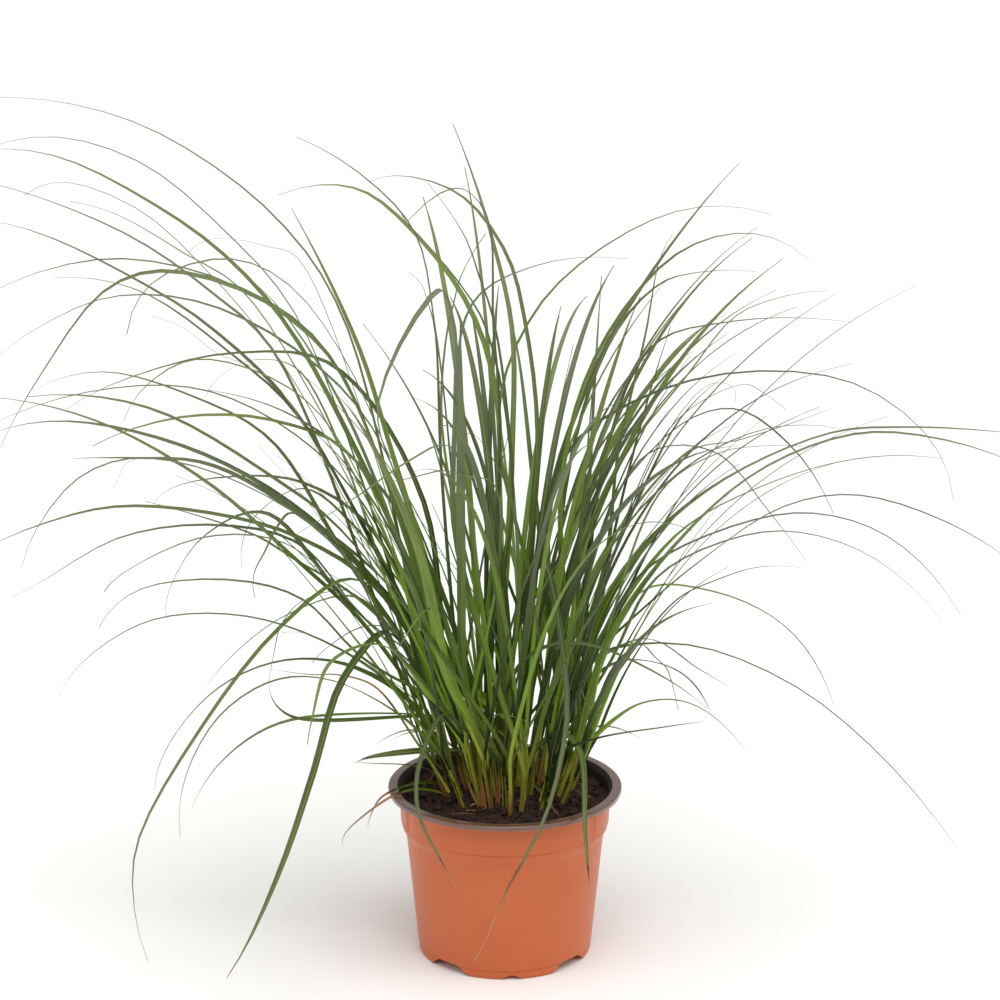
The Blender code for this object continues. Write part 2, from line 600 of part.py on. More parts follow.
def clears_pot(point):
    """Whether a leaf may pass through this point: over the soil, over the rim or outside it."""
    x, y, z = point
    radius = math.hypot(x, y)
    if radius > RIM_RADIUS + POT_CLEARANCE or z > POT_HEIGHT + POT_CLEARANCE:
        return True
    over_soil = z > soil_height(x, y) + POT_CLEARANCE
    return over_soil and radius < COLLAR_RADIUS - POT_INSIDE_CLEARANCE


def behind(x, z, depth):
    """The point at this depth behind the pot's axis that is seen at x, z from the front."""
    seen = Vector((x, 0.0, z))
    return EYE + (seen - EYE) * ((depth - EYE.y) / -EYE.y)


def seen_leaf(shoot, width, seen, depth, heading, face, roll):
    """A leaf along the line read from the front, its tip at the given depth.

    The first points that lie lower than the top of the sheath are left to the sheath.
    """
    start = shoot.leaf_start(heading)
    lowest = start[1].z + SEEN_RISE
    while len(seen) > SEEN_FEWEST_POINTS and behind(*seen[0], start[1].y).z < lowest:
        seen = seen[1:]
    flat = np.array([(start[1].x, start[1].z), *seen])
    runs = np.cumsum(np.linalg.norm(np.diff(flat, axis=0), axis=1))
    depths = start[1].y + (depth - start[1].y) * (runs / runs[-1]) ** SEEN_DEPTH_CURVE
    points = start + [behind(x, z, float(y)) for (x, z), y in zip(seen, depths)]
    return Leaf(points, width, face, roll)


def place_seen_leaf(row, rng, shoots):
    """Puts a leaf read from the front on the nearest shoot where it fits."""
    width, depth, seen = row
    seen = [(x * CM, z * CM) for x, z in seen]
    aim = Vector((seen[-1][0], depth * CM, 0.0)) / SEEN_SPREAD
    aim = Vector((clamped(aim.x, SEEN_EDGE), clamped(aim.y, SEEN_EDGE), 0.0))
    free = [shoot for shoot in shoots if shoot.sectors]
    free.sort(key=lambda shoot: (shoot.outward - aim).length + SEEN_CROWDING * len(shoot.leaves))
    for shoot in free[:SEEN_SHOOTS_TRIED]:
        for attempt in range(SEEN_TRIES):
            tip_depth = depth * CM + attempt * CM * rng.uniform(-1.0, 1.0)
            tip = behind(*seen[-1], tip_depth)
            heading = math.atan2(tip.y - shoot.foot.y, tip.x - shoot.foot.x)
            face, roll = rng.uniform(-SEEN_FACE, SEEN_FACE), rng.uniform(*SEEN_ROLL)
            leaf = seen_leaf(shoot, width * MM, seen, tip_depth, heading, face, roll)
            if fits(leaf, shoot, shoots):
                shoot.add(leaf, heading)
                return


def grown_leaf(shoot, heading, rng):
    """A leaf by the clump's rule: it leaves at a lean and bends over as it goes."""
    outward = Vector((math.cos(heading), math.sin(heading), 0.0))
    forward = abs(outward.y)
    length = rng.uniform(*GROWN_LENGTH) + forward * GROWN_EXTRA_LENGTH
    lean = rng.uniform(*GROWN_LEAN) + GROWN_LEAN_AT_EDGE * shoot.outward.length
    droop = rng.uniform(*GROWN_DROOP) + forward * GROWN_EXTRA_DROOP
    points = shoot.leaf_start(heading)
    for i in range(GROWN_PARTS):
        angle = lean + droop * ((i + 0.5) / GROWN_PARTS) ** GROWN_DROOP_CURVE
        step = outward * math.sin(angle) + Vector((0, 0, 1)) * math.cos(angle)
        points.append(points[-1] + step * length / GROWN_PARTS)
    width = rng.uniform(*GROWN_WIDTH)
    face, roll = rng.uniform(-GROWN_FACE, GROWN_FACE), rng.uniform(-GROWN_ROLL, GROWN_ROLL)
    return Leaf(points, width, face, roll)


def place_grown_leaf(shoot, rng, shoots):
    outward = math.atan2(shoot.outward.y, shoot.outward.x)
    for _ in range(GROWN_TRIES):
        heading = outward + rng.uniform(-GROWN_TURN, GROWN_TURN)
        leaf = grown_leaf(shoot, heading, rng)
        if leaf.curve[:, 2].max() < GROWN_TOP and fits(leaf, shoot, shoots):
            shoot.add(leaf, heading)
            return


def grow_clump():
    """The shoots with their leaves: first those read from the front, then the rest by rule."""
    shoots = [Shoot(index) for index in range(SHOOT_COUNT)]
    for number, row in enumerate(SEEN_LEAVES):
        place_seen_leaf(row, random.Random(SEED * 100 + number), shoots)
    for index, shoot in enumerate(shoots):
        rng = random.Random(SEED * 10000 + index)
        for _ in range(LEAVES_PER_SHOOT - len(shoot.leaves)):
            place_grown_leaf(shoot, rng, shoots)
    return shoots


def corner(vert, sides):
    """Which corner of a cone's ring a vertex is, counted round the axis."""
    return round(math.atan2(vert.co.y, vert.co.x) / (math.tau / sides)) % sides


def leaf_mesh(name, stations):
    """A three-sided cone, cut across at each step and bent along the leaf."""
    steps = len(stations) - 1
    bm = bmesh.new()
    bmesh.ops.create_cone(bm, cap_ends=True, segments=3, radius1=1.0, radius2=0.0, depth=steps)
    bmesh.ops.translate(bm, verts=bm.verts, vec=(0, 0, steps / 2))
    for i in range(1, steps):
        whole = bm.verts[:] + bm.edges[:] + bm.faces[:]
        bmesh.ops.bisect_plane(bm, geom=whole, plane_co=(0, 0, i), plane_no=(0, 0, 1))
    foursided = [face for face in bm.faces if len(face.verts) == 4]
    step_of = {face: min(round(vert.co.z) for vert in face.verts) for face in foursided}
    for vert in bm.verts:
        station = stations[round(vert.co.z)]
        at_tip = round(vert.co.z) == steps
        vert.co = (station[0] + station[1]) / 2 if at_tip else station[corner(vert, 3)]
    for face, step in step_of.items():
        fold_outwards(face, Vector(np.mean(stations[step] + stations[step + 1], axis=0)))
    return mesh_from(name, bm)


def fold_outwards(face, middle):
    """Splits a twisted four-sided face along the diagonal that lies further from the leaf's middle."""
    a, b, c, d = face.verts
    across = ((a.co + c.co) / 2 - middle).length > ((b.co + d.co) / 2 - middle).length
    bmesh.utils.face_split(face, *((a, c) if across else (b, d)))


def sheath_mesh(name, rings):
    """A cylinder whose two rings are moved to the given ones."""
    bm = bmesh.new()
    bmesh.ops.create_cone(
        bm, cap_ends=True, segments=SHEATH_SIDES, radius1=1.0, radius2=1.0, depth=1.0
    )
    for vert in bm.verts:
        vert.co = rings[0 if vert.co.z < 0 else 1][corner(vert, SHEATH_SIDES)]
    return mesh_from(name, bm)


def shoot_material(shoot):
    """Each shoot has its own green, between the deep and the yellow one of the clump."""
    share = random.Random(shoot.name).random()
    colour = [a + (b - a) * share for a, b in zip(linear("#3F5F25"), linear("#7E9C37"))]
    return new_material(shoot.name.replace("shoot", "Grass leaf"), colour, 0.5)


def build_shoot(shoot, collection, cutters):
    """The sheath with its leaves joined to it. Its origin is at the middle of its foot."""
    mesh = sheath_mesh(shoot.name, shoot.rings())
    obj = new_object(shoot.name, mesh, collection, shoot_material(shoot))
    leaves = []
    for number, leaf in enumerate(shoot.leaves):
        name = f"{shoot.name}_leaf_{number + 1}"
        leaves.append(new_object(name, leaf_mesh(name, leaf.stations()), cutters))
        boolean(obj, leaves[-1], "UNION")
    made_mesh(obj)
    smooth(obj, LEAF_SMOOTH_ANGLE)
    obj.data.transform(Matrix.Translation(-shoot.foot))
    obj.location = shoot.foot
    for leaf in leaves:
        bpy.data.objects.remove(leaf, do_unlink=True)


# --------------------------------------------------------------------------------------- soil


def soil_profile():
    """(radius, z) points: out over the top, down the wall's inside, and in along the floor."""
    inset = WALL + GAP
    top = [(radius, SOIL_Z) for radius in (0.0, *SOIL_RINGS, COLLAR_RADIUS - SOIL_EDGE_GAP)]
    side = [
        (COLLAR_FOOT_RADIUS - inset - GAP, COLLAR_FOOT_Z),
        (WALL_TOP_RADIUS - inset - GAP, STEP_Z),
        (WALL_FOOT_RADIUS - inset - GAP, FLOOR_Z + inset),
    ]
    return top + side + [(0.0, FLOOR_Z + inset)]


def build_soil(shoots, collection, cutters):
    material = new_material("Peat", linear("#2B1F1B"), 0.95)
    soil = turned("soil", soil_profile(), SOIL_STEPS, collection, material)
    for vert in soil.data.vertices:
        if vert.co.z > SOIL_Z - GAP:
            vert.co.z = soil_height(vert.co.x, vert.co.y)
    bm = bmesh.new()
    for shoot in shoots:
        foot, top = shoot.rings(GAP)
        foot = [point - np.array(shoot.axis) * GAP for point in foot]
        socket = sheath_mesh("socket", [foot, top])
        bm.from_mesh(socket)
        bpy.data.meshes.remove(socket)
    sockets = new_object("socket_cutter", mesh_from("socket_cutter", bm), cutters)
    hide_cutter(sockets)
    boolean(soil, sockets, "DIFFERENCE")
    made_mesh(soil)
    smooth(soil, SOIL_SMOOTH_ANGLE)


def main():
    clear_scene()
    collection = new_collection("potted_ornamental_grass")
    cutters = new_collection("cutters", hidden=True)
    build_pot(collection, cutters)
    shoots = grow_clump()
    build_soil(shoots, collection, cutters)
    for shoot in shoots:
        build_shoot(shoot, collection, cutters)


main()
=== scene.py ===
"""A potted clump of ornamental grass, dressed on its CAD frame.

The pot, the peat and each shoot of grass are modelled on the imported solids, which they replace.
The shoots are grown by the same seeded rules and sizes as the solids, so every blade lies where
its solid lies, and then thinner leaves that the solids leave out are added. Metres, +Z up.
"""

import functools
import math
import random

import bmesh
import bpy
import numpy as np
from bpy.props import FloatProperty, FloatVectorProperty, IntProperty, PointerProperty
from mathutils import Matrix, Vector, noise
from mathutils.bvhtree import BVHTree


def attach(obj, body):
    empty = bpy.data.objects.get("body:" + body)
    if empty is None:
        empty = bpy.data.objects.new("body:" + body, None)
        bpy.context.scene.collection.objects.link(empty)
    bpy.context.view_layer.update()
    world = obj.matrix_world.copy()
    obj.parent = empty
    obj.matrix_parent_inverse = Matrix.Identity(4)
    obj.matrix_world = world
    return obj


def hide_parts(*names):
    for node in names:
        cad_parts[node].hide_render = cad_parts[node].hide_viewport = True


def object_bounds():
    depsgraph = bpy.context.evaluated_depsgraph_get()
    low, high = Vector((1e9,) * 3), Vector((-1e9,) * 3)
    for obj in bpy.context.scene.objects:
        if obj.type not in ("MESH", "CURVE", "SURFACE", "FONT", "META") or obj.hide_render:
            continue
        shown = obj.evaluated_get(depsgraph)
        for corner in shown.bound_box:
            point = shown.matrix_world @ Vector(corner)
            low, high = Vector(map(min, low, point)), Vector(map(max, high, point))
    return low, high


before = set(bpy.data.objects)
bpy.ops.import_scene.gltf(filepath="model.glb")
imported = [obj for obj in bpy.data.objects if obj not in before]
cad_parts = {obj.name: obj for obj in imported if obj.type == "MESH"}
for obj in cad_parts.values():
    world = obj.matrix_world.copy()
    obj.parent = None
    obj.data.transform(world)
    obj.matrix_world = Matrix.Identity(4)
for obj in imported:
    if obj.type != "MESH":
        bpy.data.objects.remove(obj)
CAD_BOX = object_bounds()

bl_info = {
    "name": "Potted ornamental grass",
    "version": (1, 0, 0),
    "blender": (4, 5, 0),
    "location": "3D View > Sidebar > Grass",
    "description": "Models a clump of ornamental grass in a nursery pot, on its CAD frame",
    "category": "Add Mesh",
}

MM = 0.001
CM = 0.01

# Pot
RIM_RADIUS = 95.0 * MM
POT_HEIGHT = 141.5 * MM
LIP_WIDTH = 7.5 * MM
LIP_EDGE = 4.0 * MM
WALL = 1.2 * MM
COLLAR_RADIUS = 85.6 * MM
COLLAR_FOOT_RADIUS = 84.5 * MM
COLLAR_FOOT_Z = 112.0 * MM
STEP_Z = 102.3 * MM
WALL_TOP_RADIUS = 80.5 * MM
WALL_FOOT_RADIUS = 71.2 * MM
WALL_FOOT_Z = 8.0 * MM
FOOT_RADIUS = 69.8 * MM
FOOT_INNER_RADIUS = 56.0 * MM
FOOT_EDGE = 0.9 * MM
FOOT_EDGE_Z = 6.8 * MM
FOOT_DRAFT = 2.0 * MM
FLOOR_Z = 9.0 * MM
CENTRE_HOLE_RADIUS = 6.0 * MM

# Foot: four lobes, parted by channels that slope in towards their roofs
CHANNEL_COUNT = 4
CHANNEL_TURN = math.radians(-41.0)
CHANNEL_FOOT_WIDTH = 40.0 * MM
CHANNEL_HEIGHT = 7.4 * MM
CHANNEL_START_RADIUS = 50.0 * MM
CHANNEL_LENGTH = 70.0 * MM
NOTCH_TURN = math.radians(4.5)
NOTCH_WIDTH = 17.0 * MM
NOTCH_HEIGHT = 3.2 * MM
DRAIN_HOLE_RADIUS = 4.5 * MM
DRAIN_HOLE_RING = 36.0 * MM
CUTTER_MARGIN = 2.0 * MM

# Soil
GAP = 0.3 * MM
SOIL_Z = 130.0 * MM
SOIL_MOUND = 4.5 * MM
SOIL_MOUND_RADIUS = 70.0 * MM
SOIL_LUMP = 3.0 * MM
SOIL_LUMP_SIZE = 17.0 * MM
SOCKET_DEPTH = 12.0 * MM

# Shoots: they stand on an even spiral over the crown and fan out from its middle. Each shoot, each
# leaf that is read from the front and each shoot's other leaves draw from a seed of their own.
SEED = 8
SHOOT_SEEDS = SEED * 1000
SEEN_SEEDS = SEED * 100
GROWN_SEEDS = SEED * 10000
SHOOT_COUNT = 40
CROWN_CENTRE = Vector((4.0 * MM, 2.0 * MM, 0.0))
CROWN_RADIUS = 47.0 * MM
SHEATH_SIDES = 5
SHEATH_FOOT_RADIUS = 3.7 * MM
SHEATH_TOP_RADIUS = 3.1 * MM
SHEATH_HEIGHT = (32.0 * MM, 58.0 * MM)
SHEATH_LEAN = 0.42

# Leaves
LEAVES_PER_SHOOT = 3
LEAF_STEP = 95.0 * MM
LEAF_BEND_STEP = 70.0 * MM
LEAF_FEWEST_STEPS = 4
LEAF_MOST_STEPS = 9
LEAF_SOCKET = 6.0 * MM
LEAF_OFFSET = 1.4 * MM
LEAF_FOOT_WIDTH = 1.8 * MM
LEAF_OPENS_BY = 0.16
LEAF_TAPERS_FROM = 0.35
LEAF_TAPER_CURVE = 1.5
LEAF_SETTLES_BY = 0.6
LEAF_KEEL = 1.0 * MM
LEAF_TIP_KEEL = 0.45 * MM
LEAF_CLEARANCE = 0.35 * MM
POT_CLEARANCE = 5.0 * MM
POT_INSIDE_CLEARANCE = 10.6 * MM
PATH_CHECKS = 12
CURVE_FINENESS = 16
LOWEST_LEAF_Z = 4.0 * MM
REACH_SIDEWAYS = 434.0 * MM
REACH_FORWARD = 335.0 * MM

# How a leaf that is read from the front finds its shoot, and how it turns and twists there
SEEN_SPREAD = 260.0 * MM
SEEN_SHOOTS_TRIED = 8
SEEN_TRIES = 10
SEEN_CROWDING = 0.25
SEEN_DEPTH_CURVE = 1.2
SEEN_FACE = 0.7
SEEN_ROLL = (-0.15, 0.6)
SEEN_EDGE = 0.85
SEEN_RISE = 5.0 * MM
SEEN_FEWEST_POINTS = 2

# Leaves that only follow the clump's rule: ranges of length, width and angles
GROWN_LENGTH = (300.0 * MM, 470.0 * MM)
GROWN_EXTRA_LENGTH = 70.0 * MM
GROWN_WIDTH = (4.0 * MM, 8.0 * MM)
GROWN_TURN = 0.5
GROWN_LEAN = (0.03, 0.20)
GROWN_LEAN_AT_EDGE = 0.20
GROWN_DROOP = (0.35, 0.85)
GROWN_EXTRA_DROOP = 0.6
GROWN_DROOP_CURVE = 1.6
GROWN_PARTS = 6
GROWN_FACE = 0.8
GROWN_ROLL = 0.4
GROWN_TOP = 620.0 * MM
GROWN_TRIES = 200

# A leaf that is read from the front is seen from this place, level with the clump's upper half
EYE = Vector((-4.0 * MM, -2.34, 1.044))

# Leaves as read from the front: the width in mm, how far the tip lies behind the pot's axis in
# cm (in front of it if negative), and points from low on the leaf to its tip, as x and z in cm
# in the upright plane through the pot's axis.
SEEN_LEAVES = (
    # Low ones that droop to the left
    (6, -6, ((-8.5, 22), (-15, 26.5), (-21.5, 28.5), (-28.5, 28), (-34, 24.5), (-36, 21.5))),
    (6.5, -7, (
        (-8.5, 29), (-12.5, 31.5), (-18, 27.5), (-24.5, 19), (-30, 9), (-30.5, 3.5),
        (-29.5, -1.5),
    )),
    (5, 8, ((-8.5, 22), (-13.5, 24.5), (-18.5, 24.5), (-23.5, 22), (-27.5, 17), (-28.5, 13.5))),
    (5, -12, ((-8.5, 20), (-14, 23), (-18.5, 23), (-23, 20), (-26, 14.5), (-26.5, 9.5))),
    (3.5, 15, ((-8.5, 18), (-14.5, 20), (-19, 19), (-23, 16), (-25.5, 12))),
    (4.5, -4, ((-8.5, 17.5), (-14, 19), (-17.5, 20), (-19, 23))),
    (10, -16, ((-6.5, 22), (-9.5, 27), (-13, 23), (-15.5, 15), (-18, 7.5), (-21, 0.5), (-23, -3))),
    (5, 10, ((-8.5, 26.5), (-12, 30), (-17.5, 28.5), (-22, 25), (-24, 22.5))),
    (5, -14, ((-6, 21.5), (-10, 26), (-14, 24.5), (-15.5, 20), (-16, 17.5))),
    (6, -10, ((-5.5, 16), (-8.5, 17), (-10.5, 16.5), (-12, 16))),
    # Those that fall over the front of the pot
    (6, -12, ((-3.5, 19), (-5, 20), (-7, 15.5), (-7, 11.5), (-5, 7), (-4, 5))),
    (7.5, -16, ((3, 33), (5, 21.5), (4.5, 16), (3, 10.5), (0, 4.5), (-1.5, 0.5), (-2.5, -1.5))),
    (7, -12, ((3.5, 15), (4.5, 18.5), (6, 17), (6.5, 10), (7, 4.5))),
    # Low ones that droop to the right
    (8.5, -4, ((5.5, 19.5), (7.5, 25), (14.5, 26), (22.5, 23), (29.5, 17.5), (37, 8.5))),
    (5, 9, ((7, 22), (11, 30.5), (16.5, 30.5), (22.5, 27.5), (26.5, 21))),
    (8, -16, ((6.5, 18), (8.5, 23), (12, 27.5), (16.5, 29.5))),
    (4.5, 14, ((6, 19), (9, 24.5), (13.5, 24), (16.5, 20.5))),
    (4.5, -8, ((6.5, 17.5), (11, 21), (15, 21), (19.5, 17))),
    (4.5, -20, ((6, 16), (7.5, 18), (13, 19), (16, 19.5))),
    (4, 18, ((6.5, 21.5), (11, 26.5), (15.5, 24), (18, 22.5))),
    # Long ones that arch over to the upper left
    (5, 8, ((-12.5, 52.5), (-17.5, 60.5), (-26, 67), (-33, 69.5), (-40, 70))),
    (4.5, -10, ((-16, 52.5), (-22, 60), (-28, 65), (-34.5, 67), (-40, 66))),
    (6.5, 14, ((-16, 50.5), (-21.5, 57.5), (-27.5, 62), (-34.5, 65.5), (-40, 66))),
    (6, -4, ((-18, 50), (-23, 55), (-28.5, 59), (-35, 62), (-40, 63.5))),
    (5.5, 20, ((-16, 44.5), (-23, 52), (-29, 56), (-36, 59.5), (-40, 60.5))),
    (4, -16, ((-17, 48.5), (-24, 57.5), (-28.5, 61.5), (-34, 63.5), (-37, 62.5))),
    (5, -20, ((-12.5, 47.5), (-16, 52), (-22.5, 56), (-30, 57.5), (-36, 56.5), (-40.5, 54.5))),
    (8, 3, ((-13, 48.5), (-18.5, 54), (-26.5, 56.5), (-31, 55), (-36.5, 48), (-40, 42))),
    (4.5, 18, ((-10.5, 44), (-16, 50), (-23.5, 54), (-30.5, 54.5), (-36.5, 52), (-40.5, 49))),
    (4, -24, ((-12, 48.5), (-17.5, 56), (-22, 57.5), (-27.5, 55.5), (-29.5, 51.5))),
    (4, 16, ((-16, 44.5), (-21.5, 50), (-28.5, 55), (-35, 56))),
    (4, -12, ((-20, 54.5), (-25, 58), (-30, 61), (-33.5, 62))),
    # Flatter ones to the left
    (5, 10, ((-6.5, 38), (-13.5, 49), (-21, 50), (-29.5, 48), (-34.5, 45.5))),
    (5, -8, ((-10, 36.5), (-16, 46.5), (-24, 49.5), (-28, 47.5), (-30, 44.5))),
    (4.5, 18, ((-12.5, 33), (-18.5, 43), (-24.5, 46.5), (-31.5, 48.5), (-37, 47))),
    (6, -6, ((-10.5, 36.5), (-16, 43), (-23.5, 47), (-32, 47), (-41, 44))),
    (7, 9, ((-11.5, 28), (-16.5, 33), (-23.5, 39.5), (-32, 44.5), (-40.5, 46.5))),
    (5, -18, ((-13, 35.5), (-18.5, 40), (-26.5, 45), (-32, 46.5), (-37.5, 46.5))),
    (6.5, 17, ((-11.5, 32.5), (-18, 38.5), (-25.5, 42.5), (-34.5, 44.5), (-40.5, 43.5))),
    (4.5, -14, ((-12, 41.5), (-18, 44.5), (-24, 45), (-29, 44), (-32.5, 42.5))),
    (8, 6, ((-8.5, 30), (-16.5, 37), (-23.5, 41), (-29.5, 41.5), (-34, 41.5))),
    (5.5, -10, ((-12.5, 33), (-21, 39.5), (-29, 41.5), (-33.5, 40), (-37, 36), (-38.5, 32.5))),
    (4, 12, ((-10.5, 35.5), (-16, 39.5), (-21.5, 40), (-26.5, 39), (-28, 37.5))),
    (9, -3, ((-10, 30.5), (-16.5, 35), (-23.5, 37), (-31, 37.5), (-37, 36), (-41.5, 34))),
    (5.5, 17, ((-11, 28), (-16.5, 34.5), (-23, 36), (-30.5, 35), (-37.5, 31), (-39.5, 30))),
    (4.5, -20, ((-11, 28), (-17.5, 34.5), (-24, 35), (-30.5, 32), (-32, 30.5))),
    (5, 5, ((-13, 30), (-19, 37), (-24, 35), (-27, 30), (-27, 28))),
    (5, -9, ((-11, 24.5), (-16.5, 30), (-22.5, 31.5), (-29.5, 30.5), (-32.5, 27.5))),
    (4, 14, ((-12.5, 36.5), (-16, 39), (-20, 36.5), (-21, 32.5))),
    # Upright ones in the middle
    (5, 4, ((0.5, 41.5), (0.5, 52), (-1, 59), (-2.5, 64), (-4, 68))),
    (6, -6, ((-0.5, 45.5), (-1, 52), (-1.5, 61), (-3.5, 63), (-7.5, 60.5))),
    (5.5, 10, ((2.5, 42), (1.5, 52.5), (0, 58), (-3.5, 62.5), (-8, 64), (-10.5, 63.5))),
    (6, -12, ((-4.5, 43), (-5.5, 52), (-7, 59.5), (-11, 64), (-16, 67))),
    (5, 16, ((-0.5, 44.5), (-2.5, 53), (-7, 59.5), (-11.5, 63), (-17.5, 62.5))),
    (10, -18, ((-4, 35), (-4, 45.5), (-4, 52), (-5, 55), (-7.5, 52), (-10, 45.5), (-9, 41.5))),
    (9.5, -8, ((-5, 24.5), (-9, 36), (-13, 46), (-17.5, 53.5), (-20, 56))),
    (7, 2, ((-4.5, 26.5), (-9, 42), (-11.5, 50.5), (-16.5, 61.5))),
    (10, -22, ((-4.5, 23), (-7, 34), (-11, 43.5), (-13, 46.5))),
    (7, -20, ((-3, 21.5), (-3.5, 33), (-3.5, 44), (-3.5, 52.5))),
    (5, 20, ((3, 30), (2, 41.5), (1, 50), (0, 54.5))),
    (4, -15, ((-2, 30), (-4.5, 42.5), (-8, 41), (-11.5, 38.5), (-17, 35))),
    # Steep ones to the upper right
    (7, -5, ((3.5, 37), (7, 48.5), (10.5, 55), (15, 61.5), (18, 65))),
    (6, 9, ((8, 32.5), (9, 42), (11, 51.5), (12, 57.5), (13, 59.5))),
    (5.5, -14, ((4.5, 32.5), (7, 43.5), (9.5, 52), (10.5, 54.5))),
    (4.5, 12, ((-0.5, 44.5), (2.5, 53.5), (8.5, 59), (14.5, 61.5), (20.5, 61))),
    (4.5, -10, ((4.5, 39.5), (7.5, 50.5), (13.5, 58), (19, 59.5), (23.5, 57.5))),
    (4, 18, ((4.5, 36.5), (8, 50.5), (12, 55.5), (15.5, 56.5), (19.5, 56.5))),
    (4, -18, ((6.5, 39.5), (10.5, 49.5), (15.5, 56.5), (19.5, 60))),
    (4.5, 5, ((-3.5, 44.5), (-2.5, 54), (2.5, 57), (9.5, 57.5))),
    (4.5, -7, ((7.5, 38), (14.5, 48.5), (18, 53), (21.5, 54.5), (25, 55))),
    (5, 15, ((7.5, 39.5), (11.5, 50.5), (17.5, 52.5), (27, 52.5))),
    # Long ones that arch over to the right
    (6.5, -9, ((3, 33), (5, 42), (11, 46.5), (19, 48.5), (27.5, 47.5), (33.5, 43), (35.5, 38))),
    (7, 6, ((7.5, 28), (11, 34), (17, 39.5), (25.5, 43.5), (31, 44), (40.5, 43.5))),
    (6, -14, ((8.5, 26.5), (15.5, 36.5), (21, 41), (28, 43.5), (34.5, 43), (40.5, 41))),
    (5, 20, ((8.5, 28), (14, 35.5), (21, 39.5), (28, 41.5), (34.5, 41.5))),
    (5.5, -3, ((7.5, 25.5), (11, 32), (17, 35.5), (24, 37), (30.5, 35), (36.5, 28.5))),
    (5.5, 16, ((8.5, 26.5), (15.5, 33), (22, 37.5), (27.5, 38.5), (34.5, 36.5), (41, 32.5))),
    (5, -16, ((8.5, 24.5), (12, 31.5), (17, 34.5), (22.5, 35.5), (29, 33.5), (35, 28))),
    (5.5, 10, ((6, 33), (13.5, 44), (18, 45.5), (22.5, 42.5), (26, 37))),
    (5, -8, ((7, 33), (11.5, 42), (16.5, 42), (21, 37), (24, 33))),
    (7, -12, ((7.5, 30), (11, 39), (14, 45), (17, 48))),
    (4.5, 22, ((7.5, 33), (14.5, 42), (18.5, 43), (25.5, 45.5))),
    (4.5, -22, ((7.5, 32.5), (14, 40.5), (21, 44), (28, 43.5))),
)

# Thin leaves that the solids leave out, read from the front in the same way as the rest: the
# width in mm, the tip's depth in cm, and points as x and z in cm.
THIN_LEAVES = (
    (3, 10, ((-16, 57.5), (-18.5, 58.5), (-20.5, 59), (-23, 59), (-24.5, 58))),
    (4, -12, ((-16, 44.5), (-19, 48.5), (-22.5, 50), (-25, 52), (-27.5, 53))),
    (3, 16, ((-16, 48.5), (-19.5, 49.5), (-21, 49), (-22.5, 48), (-23.5, 46.5))),
    (4, -9, (
        (-20, 36.5), (-25, 40.5), (-27, 41.5), (-29, 41.5), (-30, 41), (-30.5, 40), (-31, 39),
    )),
    (4, 13, (
        (-8.5, 26.5), (-12.5, 30.5), (-16.5, 33), (-19.5, 35), (-22, 36), (-25, 37), (-28.5, 38),
    )),
    (4.5, -14, ((-8.5, 24.5), (-12.5, 33), (-17, 37), (-18, 36), (-19, 34), (-20, 32), (-20, 30))),
    (3.5, -9, ((-6, 25.5), (-9.5, 27.5), (-11.5, 27.5), (-14, 26), (-15.5, 24.5))),
    (4, 9, (
        (-8.5, 26.5), (-12.5, 30.5), (-14, 30.5), (-16.5, 29.5), (-18, 27.5), (-18.5, 25.5),
        (-19, 23),
    )),
    (3.5, -8, ((-7.5, 21.5), (-11.5, 24.5), (-14, 26), (-16, 27), (-18, 27))),
    (4.5, -8, ((0.5, 36.5), (0, 46.5), (-1, 53), (-2, 56), (-3, 59), (-4.5, 61.5), (-6, 63.5))),
    (4, 7, ((-3, 33), (-5, 44.5), (-4.5, 52), (-4, 54), (-3.5, 56), (-2.5, 58), (-1.5, 59.5))),
    (4.5, -13, ((-5, 39.5), (-5.5, 52), (-6, 54), (-6.5, 55.5), (-7.5, 56.5))),
    (4, 12, ((0.5, 39.5), (-1.5, 52), (-3.5, 55.5), (-5.5, 58), (-7, 59.5), (-8, 61))),
    (4, -17, ((-0.5, 33), (-1, 39.5), (-3, 40), (-5, 40.5), (-7, 40), (-9.5, 39.5))),
    (5, -10, ((1, 28), (0.5, 38), (-1, 41.5), (-2.5, 43.5), (-3, 43.5))),
    (4, 8, ((11, 26.5), (14, 30), (17, 31.5), (20, 32.5), (23.5, 32.5))),
    (3.5, -10, ((8.5, 28), (12.5, 39), (17, 42), (20, 42.5), (23.5, 42.5))),
    (4, 11, ((8.5, 33), (13, 44), (17, 47), (19, 47.5), (20, 47), (22, 45.5))),
    (3.5, -12, ((8.5, 33), (13, 44), (16, 47.5), (17.5, 47.5), (18, 47), (18, 46))),
    (4, -14, ((7, 19.5), (9, 24.5), (11, 26), (12, 25), (13, 24), (13.5, 22.5), (14, 20.5))),
)

